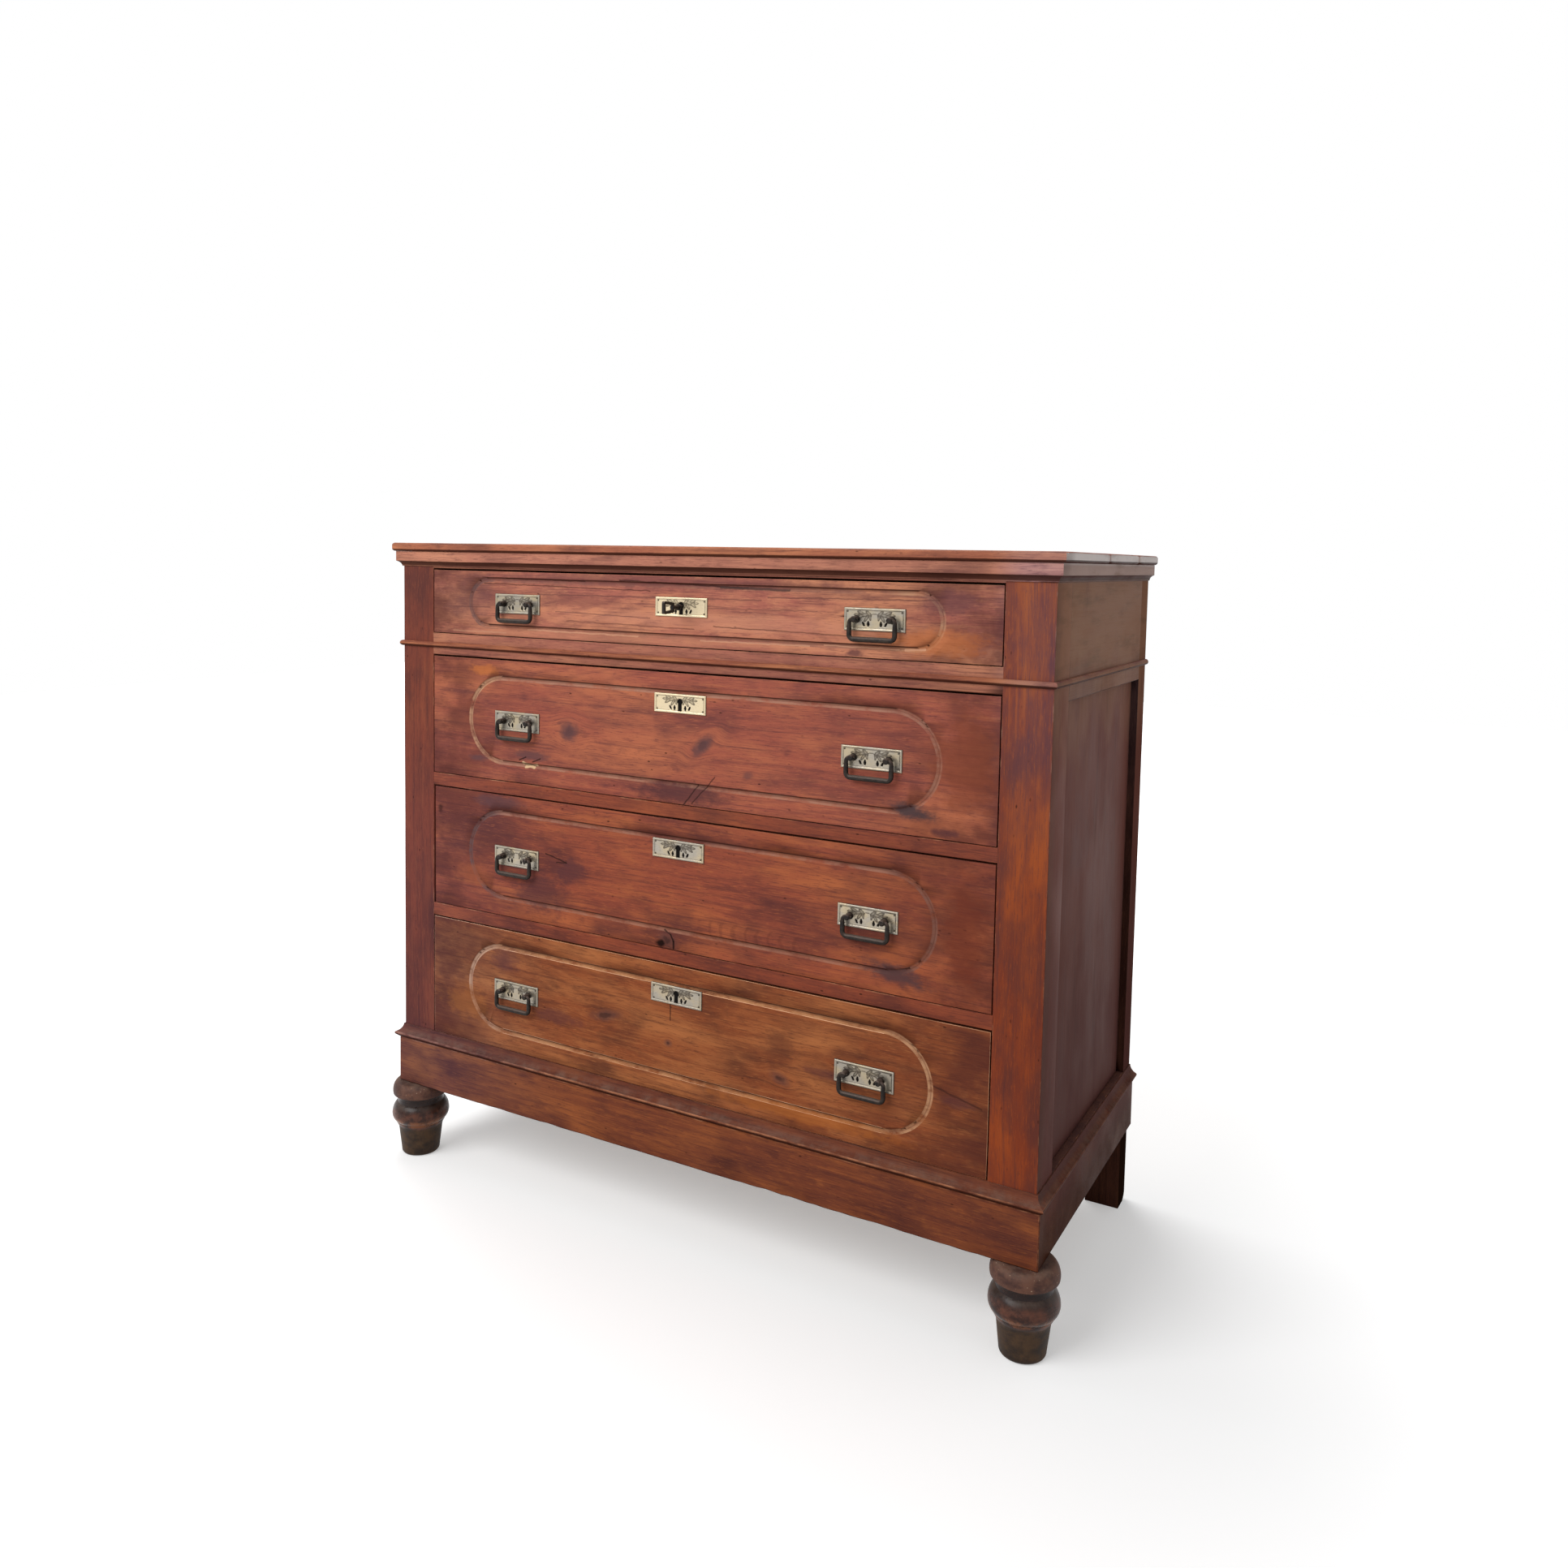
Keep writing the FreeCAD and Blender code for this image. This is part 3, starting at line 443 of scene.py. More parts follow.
def stained_pine(
    name, grain, shift, red, dark, warm, shares=(0.25, 0.2), rub=0.22, dusty=0.0, marks=None,
    pale=worn_pine, gloss=wood_gloss,
):
    """A stained softwood of its own figure: colours, shares of dark and warm, wear and any marks."""
    material, tree, shader, place = new_material(name)
    if marks:
        place = marks.bend(tree, place)
    turned = add(tree, "Mapping", {"Vector": place, "Location": shift, "Rotation": grain}).outputs[0]
    stain = {"Vector": turned, "Red": red, "Dark": dark, "Warm": warm}
    stain.update({"Dark Share": shares[0], "Warm Share": shares[1]})
    wood = add(tree, "Group", stain, node_tree=figure)
    colour = wood.outputs["Color"]
    height = wood.outputs["Height"]
    if marks:
        colour, height = marks.draw(tree, colour, height)
    edge = add(tree, "Attribute", attribute_name="worn").outputs["Fac"]
    rub_inputs = {"Color": colour, "Vector": turned, "Edge": edge, "Pale": pale, "Amount": rub}
    colour = add(tree, "Group", rub_inputs, node_tree=rubbed).outputs["Color"]
    colour = add(tree, "Group", {"Color": colour, "Vector": place}, node_tree=sides).outputs["Color"]
    rough = wood.outputs["Roughness"]
    if dusty:
        settled = add(tree, "Group", {"Color": colour, "Vector": place, "Amount": dusty}, node_tree=dust)
        colour = settled.outputs["Color"]
        rough = plus(tree, rough, times(tree, settled.outputs["Mask"], 0.5))
    coated(tree, shader, colour, rough, height, depth=0.0005, strength=0.3, gloss=gloss)
    return material


def joinery_copy(node, length=None):
    """A merged copy of a CAD piece with whole flat faces. A rule tells its touching lengths apart."""
    shape = bmesh.new()
    shape.from_mesh(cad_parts[node].data)
    lengths = {}
    for face in shape.faces:
        inside = face.calc_center_median() - face.normal * just_inside
        lengths.setdefault(length(inside) if length else 0, {}).update(dict.fromkeys(face.verts))
    for verts in lengths.values():
        bmesh.ops.remove_doubles(shape, verts=list(verts), dist=same_place)
    bmesh.ops.dissolve_limit(shape, angle_limit=flat_within, verts=shape.verts, edges=shape.edges)
    return shape


def anywhere(middle):
    """The rule that keeps every edge."""
    return True


def rub_edges(shape, width, keep=anywhere, shortest=0.06, segments=3):
    """Rounds the long square edges that a rule keeps, and marks the rounded strips as worn."""
    worn = shape.faces.layers.float.get("worn") or shape.faces.layers.float.new("worn")
    convex = [edge for edge in shape.edges if len(edge.link_faces) == 2 and edge.is_convex]
    square = [edge for edge in convex if edge.calc_face_angle() > square_from]
    long = [edge for edge in square if edge.calc_length() > shortest]
    rounded = bmesh.ops.bevel(
        shape, geom=[edge for edge in long if keep((edge.verts[0].co + edge.verts[1].co) / 2)],
        offset=width, offset_type="OFFSET", segments=segments, profile=0.5, affect="EDGES",
        clamp_overlap=True, material=-1,
    )
    for face in rounded["faces"]:
        face[worn] = 1.0
    bmesh.ops.dissolve_degenerate(shape, dist=sliver, edges=shape.edges)


def cut(shape, at, normal):
    """Cuts a shape's faces along a plane, and keeps both halves."""
    everything = shape.verts[:] + shape.edges[:] + shape.faces[:]
    bmesh.ops.bisect_plane(shape, geom=everything, dist=merge_gap, plane_co=at, plane_no=normal)


def sawn_across(shape, axis, step):
    """Cuts a long board's faces across at even steps, so that its surface can wear unevenly."""
    places = [vert.co[axis] for vert in shape.verts]
    low, high = min(places), max(places)
    count = int((high - low) / step)
    normal = Vector((axis == 0, axis == 1, axis == 2))
    for index in range(1, count):
        cut(shape, normal * (low + (high - low) * index / count), normal)


def aged_board(shape, axis, step, edge=0.0, keep=anywhere, shortest=0.2, depth=wear_depth):
    """Wears a board: rubs the edges that a rule keeps, and moves its faces a little."""
    if edge:
        rub_edges(shape, edge, keep, shortest)
    sawn_across(shape, axis, step)
    weathered(shape, wear_size, depth)


# The rear posts are drawn much darker than the front posts: partly their own stain and partly painted shade.
rear_post_shaded_pine = stained_pine(
    "rear_post_shaded_pine", along_z, (2.7, 0.2, 0.6), srgb(78, 48, 38), srgb(48, 28, 24), srgb(92, 58, 42),
    (0.3, 0.1), gloss=0.0,
)
post_pine = {
    "front_left": stained_pine(
        "left_post_pine", along_z, (0.3, 0.11, 0.07),
        srgb(116, 58, 44), srgb(81, 46, 41), srgb(133, 71, 49), (0.28, 0.15),
    ),
    "front_right": stained_pine(
        "right_post_pine", along_z, (1.9, 0.41, 0.27),
        srgb(123, 57, 37), srgb(91, 51, 45), srgb(152, 73, 37), (0.31, 0.3),
    ),
    "rear_left": rear_post_shaded_pine,
    "rear_right": rear_post_shaded_pine,
}
for corner, material in post_pine.items():
    node = corner + "_post"
    post = joinery_copy(node)
    aged_board(post, 2, post_step, post_edge, shortest=post_long)
    dressed(node + "_stained", post, material, "case", "stained_pine", node)


# Side frames: a deep frieze board and a bottom rail tenoned between the posts on each side, stained,
# with a thin upright panel set back in their grooves.
side_edge = 0.0012
side_face = 0.485
frieze_pine = stained_pine(
    "side_frieze_pine", along_y, (0.4, 2.2, 0.9), srgb(134, 94, 72), srgb(100, 70, 58), srgb(150, 108, 76),
    (0.2, 0.3),
)
panel_pine = stained_pine(
    "side_panel_pine", along_z, (0.9, 3.3, 0.4), srgb(112, 76, 66), srgb(80, 56, 56), srgb(128, 86, 68),
    (0.28, 0.15),
)
for node, material, grain_axis in (
    ("frieze_boards", frieze_pine, 1),
    ("side_bottom_rails", panel_pine, 1),
    ("right_side_panel", panel_pine, 2),
    ("left_side_panel", panel_pine, 2),
):
    board = joinery_copy(node)
    aged_board(board, grain_axis, post_step, side_edge, lambda middle: abs(middle.x) > side_face)
    dressed(node + "_stained", board, material, "case", "stained_pine", node)


# Front rails: softwood rails tenoned between the front posts, over, between and under the drawers.
# Each rail over a lock is mortised for its bolt. The upper rails are drawn lighter and pinker, partly
# painted sheen, and the two lower rails darker, partly painted shade.
rail_edge = 0.0011
upper_rails_from = 0.7
on_face = 1e-4
upper_rail_sheen_pine = stained_pine(
    "upper_rail_sheen_pine", along_x, (0.7, 1.2, 0.15), srgb(154, 90, 72), srgb(94, 56, 50), srgb(174, 110, 80),
    (0.2, 0.25),
)
lower_rail_shaded_pine = stained_pine(
    "lower_rail_shaded_pine", along_x, (2.1, 0.3, 0.55), srgb(130, 66, 48), srgb(82, 46, 42), srgb(150, 80, 52),
    (0.24, 0.22),
)


def front_rails(piece, node, material, below=0.0, above=1.0):
    """The front rails of a CAD node whose height lies between two levels, with rubbed front edges."""
    shape = joinery_copy(node)
    others = [vert for vert in shape.verts if not below < vert.co.z < above]
    bmesh.ops.delete(shape, geom=others, context="VERTS")
    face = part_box(node)[0].y + on_face
    aged_board(shape, 0, post_step, rail_edge, lambda middle: middle.y < face, shortest=post_long)
    dressed(piece, shape, material, "case", "stained_pine", node)


front_rails("upper_drawer_rails", "drawer_rails", upper_rail_sheen_pine, below=upper_rails_from)
front_rails("lower_drawer_rails", "drawer_rails", lower_rail_shaded_pine, above=upper_rails_from)
front_rails("bottom_rail", "bottom_front_rail", lower_rail_shaded_pine)


# Inner carcass: back rails, nailed back boards, the bottom board, the drawer runners and the stops.
# It is bare softwood, sawn and never stained, gone grey-brown with age.
back_board_count = 5
bare_edge = 0.0007
bare_long = 0.05


def bare_pine(name, grain, shift, pale, brown, grime, board_width=1.0):
    """Unstained softwood: growth lines that change from board to board, knots and the grime of age."""
    material, tree, shader, place = new_material(name)
    from_left = plus(tree, axes(tree, place)["X"], back_board_count / 2 * board_width)
    board = maths(tree, "FLOOR", maths(tree, "DIVIDE", from_left, board_width))
    apart = add(tree, "CombineXYZ", {1: times(tree, board, 0.83), 2: times(tree, board, 1.37)})
    own = vectors(tree, "ADD", place, apart.outputs[0])
    turned = add(tree, "Mapping", {"Vector": own, "Location": shift, "Rotation": grain}).outputs[0]
    slow = cloudy(tree, turned, (1.1, 9, 9), 1.0)
    rings = maths(tree, "SINE", times(tree, slow, 230.0))
    fibres = cloudy(tree, turned, (12, 480, 480))
    stains = cloudy(tree, turned, (3, 8, 8), 5.0, 0.65)
    cells = {"Vector": stretched(tree, turned, (2.6, 6.5, 6.5)), "Scale": 1.0}
    knots = add(tree, "TexVoronoi", cells).outputs["Distance"]
    colour = glazed(
        tree,
        pale,
        (rings, -0.2, 1.0, 0.45, brown),
        (fibres, 0.5, 0.8, 0.4, brown),
        (stains, 0.45, 0.8, 0.55, grime),
        (knots, 0.10, 0.06, 0.7, srgb(92, 58, 36)),
    )
    settled = add(tree, "Group", {"Color": colour, "Vector": place, "Amount": 0.4}, node_tree=dust)
    rough = plus(tree, eased(tree, fibres, 0.3, 0.8, 0.2), 0.62)
    relief = plus(tree, times(tree, rings, 0.3), fibres)
    coated(tree, shader, settled.outputs["Color"], rough, relief, depth=0.0005, strength=0.35, gloss=0.15)
    return material


def refinished(node, material):
    """Keeps a CAD piece as it is and gives it a finish."""
    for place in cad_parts[node].material_slots:
        place.material = material


def plainly_eased(node, material, body):
    """A copy of a bare CAD piece with its long edges taken off."""
    shape = joinery_copy(node)
    rub_edges(shape, bare_edge, shortest=bare_long, segments=2)
    dressed(node + "_planed", shape, material, body, "bare_pine", node)


back_low, back_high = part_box("back_boards")
back_pine = bare_pine(
    "back_board_pine", along_z, (0.2, 0.6, 0.3), srgb(152, 120, 86), srgb(118, 88, 60), srgb(100, 80, 62),
    (back_high.x - back_low.x) / back_board_count,
)
frame_pine = bare_pine(
    "inner_frame_pine", along_x, (1.2, 0.1, 0.8), srgb(158, 124, 88), srgb(124, 92, 62), srgb(104, 82, 62)
)
runner_pine = bare_pine(
    "runner_pine", along_y, (0.6, 1.4, 0.2), srgb(160, 126, 90), srgb(124, 92, 62), srgb(104, 82, 62)
)
plainly_eased("back_boards", back_pine, "case")
plainly_eased("back_rails", frame_pine, "case")
refinished("bottom_board", frame_pine)
refinished("drawer_runners", runner_pine)
refinished("drawer_stops", runner_pine)


# Plinth: a stained front board and two side facings, mitred at the corners and glued on below the
# cap. The bottom edge is knocked about by shoes and brooms.
plinth_edge = 0.0022
plinth_step = 0.012
plinth_dents = 0.0022
plinth_long = 0.05
plinth_front = -0.19
plinth_end = 0.502
plinth_dented = 0.004
plinth_dip_size = 0.11
plinth_dent_size = 0.017
plinth_dent_share = 0.6
plinth_pine = stained_pine(
    "plinth_pine", along_x, (0.1, 0.8, 1.15), srgb(116, 63, 44), srgb(80, 45, 41), srgb(150, 86, 50),
    (0.25, 0.26), 0.25,
)
case_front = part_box("front_right_post")[0].y
case_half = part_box("front_right_post")[1].x


def mitred_length(inside):
    """Which length of a mitred moulding a place is in: the front, or the left or right return."""
    if case_front - inside.y > abs(inside.x) - case_half:
        return "front"
    return "right" if inside.x > 0 else "left"


def knocked(shape, level, depth):
    """Wears a bottom edge up unevenly, in long dips and short dents."""
    for vert in shape.verts:
        if vert.co.z < level + plinth_dented:
            dents = plinth_dent_share * noise.noise(vert.co / plinth_dent_size)
            vert.co.z += depth * max(0.0, noise.noise(vert.co / plinth_dip_size) + dents)


def plinth_outside(middle):
    """The rule that keeps the edges on the outside of the plinth."""
    return middle.y < plinth_front or abs(middle.x) > plinth_end


plinth = joinery_copy("plinth", mitred_length)
aged_board(plinth, 0, plinth_step, plinth_edge, plinth_outside, plinth_long, 2 * wear_depth)
knocked(plinth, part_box("plinth")[0].z, plinth_dents)
dressed("plinth_boards", plinth, plinth_pine, "case", "stained_pine", "plinth")


# Base cap: a hollow moulding that falls from the case to a thin lip over the plinth, in three mitred
# lengths. Dust lies in the hollow and the lip is rubbed pale.
moulding_step = 0.03
cap_edge = 0.0014
cap_long = 0.1
cap_front = -0.199
cap_end = 0.502
cap_pine = stained_pine(
    "base_cap_pine", along_x, (2.4, 0.5, 0.35), srgb(108, 60, 45), srgb(74, 44, 39), srgb(126, 74, 50),
    (0.24, 0.18), 0.35, dusty=0.3,
)
cap = joinery_copy("base_cap", mitred_length)
aged_board(
    cap, 0, moulding_step, cap_edge, lambda middle: middle.y < cap_front or abs(middle.x) > cap_end, cap_long
)
dressed("base_cap_moulding", cap, cap_pine, "case", "stained_pine", "base_cap")


# Bead: a small half-round moulding under the top drawer, mitred round the front and both sides and
# fixed with glue and pins.
bead_pine = stained_pine(
    "bead_pine", along_x, (1.4, 2.5, 0.75), srgb(142, 78, 56), srgb(88, 50, 44), srgb(168, 102, 68),
    (0.15, 0.3),
)
bead = joinery_copy("bead_moulding", mitred_length)
aged_board(bead, 0, moulding_step)
dressed("bead_half_round", bead, bead_pine, "case", "stained_pine", "bead_moulding")


# Moulding under the top: a cove below a plain fillet, mitred at the front corners and glued to the
# case just under the top board.
bed_edge = 0.0009
bed_pine = stained_pine(
    "bed_moulding_pine", along_x, (3.4, 0.9, 0.5), srgb(168, 104, 82), srgb(102, 62, 54), srgb(188, 122, 92),
    (0.18, 0.25), 0.2,
)
bed = joinery_copy("top_moulding", mitred_length)
aged_board(bed, 0, moulding_step, bed_edge)
dressed("bed_moulding", bed, bed_pine, "case", "stained_pine", "top_moulding")


# Top: a thin stained top of three boards glued edge to edge, rounded over at the front and ends and
# flush at the back. Both ends are drawn grey-white, and the right end has short checks in its end grain.
top_step = 0.04
top_checks = (-0.021, 0.128)
top_check_width = 0.0017
top_check_depth = 0.010
top_joints = (-0.083, 0.094)
top_joint_width = 0.0009
top_check_line = 1e-5
top_boards_apart = 0.61


class GluedBoards:
    """Boards glued edge to edge: each one's own figure, and the thin dark joints between them."""

    def __init__(self, joints, apart):
        self.joints = joints
        self.apart = apart

    def bend(self, tree, place):
        """Moves the figure along at each joint, so that it changes from board to board."""
        self.across = axes(tree, place)["Y"]
        for joint in self.joints:
            beyond = maths(tree, "GREATER_THAN", self.across, joint)
            moved = add(tree, "CombineXYZ", {1: times(tree, beyond, self.apart)}).outputs[0]
            place = vectors(tree, "ADD", place, moved)
        return place

    def draw(self, tree, colour, height):
        """Draws each joint as a thin dark line."""
        for joint in self.joints:
            gap = maths(tree, "ABSOLUTE", less(tree, self.across, joint))
            line = eased(tree, gap, top_joint_width, top_joint_width / 2, 0.65)
            colour = tinted(tree, line, colour, srgb(50, 28, 24))
            height = less(tree, height, line)
        return colour, height


top_pine = stained_pine(
    "top_board_pine", along_x, (0.2, 3.1, 0.2), srgb(154, 88, 64), srgb(92, 54, 46), srgb(178, 108, 74),
    (0.2, 0.25), 0.35, dusty=0.3, marks=GluedBoards(top_joints, top_boards_apart),
)
top = joinery_copy("top_board")
top_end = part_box("top_board")[1].x
sawn_across(top, 0, top_step)
sawn_across(top, 1, top_step)
for check in top_checks:
    for offset in (-top_check_width, 0.0, top_check_width):
        cut(top, (0, check + offset, 0), (0, 1, 0))
    for vert in top.verts:
        if abs(vert.co.y - check) < top_check_line and vert.co.x > top_end - top_check_depth:
            vert.co.x -= top_check_depth
weathered(top, wear_size, wear_depth)
dressed("top_board_stained", top, top_pine, "case", "stained_pine", "top_board")


# Drawer boxes: thin bare softwood sides, dovetailed into the fronts, with a back between them and a
# bottom slid into grooves. They are worn smooth by use.
box_pine = bare_pine(
    "drawer_side_pine", along_y, (0.3, 0.5, 0.9),
    srgb(190, 146, 104), srgb(152, 108, 70), srgb(128, 98, 72),
)
floor_pine = bare_pine(
    "drawer_bottom_pine", along_x, (2.2, 0.5, 0.4),
    srgb(184, 142, 102), srgb(148, 106, 72), srgb(124, 96, 72),
)
drawer_numbers = (1, 2, 3, 4)
for number in drawer_numbers:
    drawer = "drawer_%d" % number
    plainly_eased(drawer + "_sides", box_pine, drawer)
    plainly_eased(drawer + "_back", floor_pine, drawer)
    refinished(drawer + "_bottom", floor_pine)


# Drawer fronts: thick softwood boards with a groove run round each face, half-blind sockets for the
# sides and a lock mortise behind. Each board has its own knots, stains and splits.
front_edge = {1: 0.0010, 2: 0.0010, 3: 0.0010, 4: 0.0018}
front_planed = {3: (0.0025, 0.004)}
front_step = 0.03
groove_mark_depth = (0.0001, 0.0022)
groove_inset = 0.05
groove_facing = -0.3
front_long = 0.08
groove_depth = 0.0019
groove_dirt_rise = 0.0007
groove_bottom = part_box("drawer_1_front")[0].y + groove_depth
groove_dirt = srgb(84, 50, 40)
groove_tan = srgb(176, 128, 96)
groove_grey = srgb(98, 74, 68)
groove_brown = srgb(140, 92, 74)
knot_halo = srgb(88, 60, 56)
knot_heart = srgb(52, 34, 32)
grime = srgb(84, 44, 38)
grey_purple = srgb(92, 60, 58)
deep_purple = srgb(86, 50, 50)
near_black = srgb(28, 18, 16)
split_brown = srgb(46, 28, 25)
hair_brown = srgb(96, 58, 52)
pale_chip = srgb(206, 164, 122)
rubbed_tan = srgb(198, 140, 106)
oval_inputs = {"Vector": "Vector", "Centre": "Vector", "Radii": "Vector", "Turn": "Float"}


def measured(tree, operation, first, second=(0, 0, 0)):
    """One measure of two vectors, such as a length."""
    return add(tree, "VectorMath", {0: first, 1: second}, operation=operation).outputs["Value"]


def oval_reach(tree, into):
    """The way to a place from the middle of a turned oval on the face, and how many radii it is."""
    off = vectors(tree, "SUBTRACT", into["Vector"], into["Centre"])
    swung = {"Vector": off, "Angle": into["Turn"]}
    turned = add(tree, "VectorRotate", swung, rotation_type="Y_AXIS").outputs[0]
    share = vectors(tree, "DIVIDE", turned, into["Radii"])
    return off, measured(tree, "LENGTH", stretched(tree, share, (1.0, 0.0, 1.0)))


def knot_group():
    """A knot: grain that bends round it, a grey halo and a dark heart."""
    outputs = {"Vector": "Vector", "Halo": "Float", "Heart": "Float"}
    tree, into, out = new_group("knot", oval_inputs, outputs)
    off, far = oval_reach(tree, into)
    ragged = cloudy(tree, into["Vector"], (110, 110, 110))
    near = plus(tree, far, times(tree, less(tree, ragged, 0.5), 0.9))
    pull = times(tree, eased(tree, far, 2.6, 0.2), -0.75)
    push = {0: stretched(tree, off, (0.0, 0.0, 1.0)), "Scale": pull}
    pushed = add(tree, "VectorMath", push, operation="SCALE").outputs[0]
    tree.links.new(vectors(tree, "ADD", into["Vector"], pushed), out["Vector"])
    tree.links.new(eased(tree, near, 1.5, 0.25), out["Halo"])
    tree.links.new(eased(tree, near, 0.55, 0.15), out["Heart"])
    return tree


def stain_group():
    """A soft ragged stain on the face, longer or taller, turned to lie as it ran."""
    tree, into, out = new_group("stain", oval_inputs, {"Mask": "Float"})
    far = oval_reach(tree, into)[1]
    ragged = cloudy(tree, into["Vector"], (70, 120, 120), 5.0, 0.65)
    near = plus(tree, far, times(tree, less(tree, ragged, 0.5), 1.5))
    tree.links.new(eased(tree, near, 1.15, 0.35), out["Mask"])
    return tree


def split_group():
    """A split or scratch that wanders between two points of the face."""
    inputs = {"Vector": "Vector", "Start": "Vector", "Run": "Vector", "Width": "Float"}
    tree, into, out = new_group("split", inputs, {"Mask": "Float"})
    wander = {"Vector": into["Vector"], "Scale": 75.0, "Detail": 3.0}
    wandered = add(tree, "TexNoise", wander).outputs["Color"]
    wandered = vectors(tree, "SUBTRACT", wandered, (0.5, 0.5, 0.5))
    wandered = stretched(tree, wandered, (0.003, 0.003, 0.003))
    moved = vectors(tree, "ADD", into["Vector"], wandered)
    off = stretched(tree, vectors(tree, "SUBTRACT", moved, into["Start"]), (1.0, 0.0, 1.0))
    along = measured(tree, "DOT_PRODUCT", off, into["Run"])
    whole = measured(tree, "DOT_PRODUCT", into["Run"], into["Run"])
    share = add(tree, "Clamp", {0: maths(tree, "DIVIDE", along, whole)}).outputs[0]
    nearest = add(tree, "VectorMath", {0: into["Run"], "Scale": share}, operation="SCALE").outputs[0]
    gap = measured(tree, "DISTANCE", off, nearest)
    tree.links.new(eased(tree, maths(tree, "DIVIDE", gap, into["Width"]), 1.0, 0.35), out["Mask"])
    return tree


knot = knot_group()
stain = stain_group()
split = split_group()


def oval_at(place, x, z, wide, tall, turn):
    """What the knot and stain groups take: an oval's middle, its radii and its turn in degrees."""
    return {"Vector": place, "Centre": (x, 0, z), "Radii": (wide, 1, tall), "Turn": math.radians(turn)}


class FrontMarks:
    """The knots, stains, splits and ripples of one drawer front, and how its groove has worn."""

    def __init__(self, knots=(), stains=(), splits=(), ripples=(), groove=()):
        self.knots = knots
        self.stains = stains
        self.splits = splits
        self.ripples = ripples
        self.groove = groove

    def bend(self, tree, place):
        """Bends the grain's coordinates round each knot."""
        self.place = place
        self.hearts = []
        for spot in self.knots:
            made = add(tree, "Group", oval_at(place, *spot), node_tree=knot)
            place = made.outputs["Vector"]
            self.hearts.append(made)
        return place

    def draw(self, tree, colour, height):
        """Lays the knots and the worn groove over the figure, and the other marks over them."""
        for made in self.hearts:
            colour = tinted(tree, times(tree, made.outputs["Halo"], 0.62), colour, knot_halo)
            colour = tinted(tree, times(tree, made.outputs["Heart"], 0.6), colour, knot_heart)
            height = less(tree, height, made.outputs["Heart"])
        left, middle, right, strength = self.groove
        across, depth, up = axes(tree, self.place)
        patchy = eased(tree, cloudy(tree, self.place, (14, 14, 22), 4.0, 0.6), 0.30, 0.62)
        ends = eased(tree, maths(tree, "ABSOLUTE", across), 0.24, 0.44, 0.78)
        colour = tinted(tree, times(tree, ends, patchy), colour, grime)
        tone = tinted(tree, eased(tree, across, -0.30, -0.33), middle, left)
        tone = tinted(tree, eased(tree, across, 0.29, 0.32), tone, right)
        carved = add(tree, "Attribute", attribute_name="groove").outputs["Fac"]
        broken = eased(tree, cloudy(tree, self.place, (30, 60, 60), 5.0, 0.7), 0.30, 0.62, strength)
        colour = tinted(tree, times(tree, carved, broken), colour, tone)
        bottom = eased(tree, depth, groove_bottom - groove_dirt_rise, groove_bottom, 0.4)
        colour = tinted(tree, times(tree, carved, bottom), colour, groove_dirt)
        for *spot, tone, strength in self.stains:
            mask = add(tree, "Group", oval_at(self.place, *spot), node_tree=stain).outputs["Mask"]
            colour = tinted(tree, times(tree, mask, strength), colour, tone)
        for (x, z), (end_x, end_z), width, tone, strength in self.splits:
            ends = {"Start": (x, 0, z), "Run": (end_x - x, 0, end_z - z)}
            line = {"Vector": self.place, **ends, "Width": width}
            mask = add(tree, "Group", line, node_tree=split).outputs["Mask"]
            colour = tinted(tree, times(tree, mask, strength), colour, tone)
            height = less(tree, height, mask)
        for start, end, level, tall, pitch, strength in self.ripples:
            off = maths(tree, "DIVIDE", less(tree, up, level), tall)
            bow = times(tree, times(tree, off, off), -0.45)
            turn = plus(tree, maths(tree, "DIVIDE", across, pitch), bow)
            turn = plus(tree, turn, cloudy(tree, self.place, (32, 32, 32), 2.0))
            lines = eased(tree, maths(tree, "SINE", times(tree, turn, math.tau)), 0.35, 0.95)
            inside = eased(tree, maths(tree, "ABSOLUTE", off), 1.0, 0.5, strength)
            inside = times(tree, inside, eased(tree, across, start, start + 2 * pitch))
            inside = times(tree, inside, eased(tree, across, end, end - 2 * pitch))
            colour = tinted(tree, times(tree, lines, inside), colour, grime)
        return colour, height


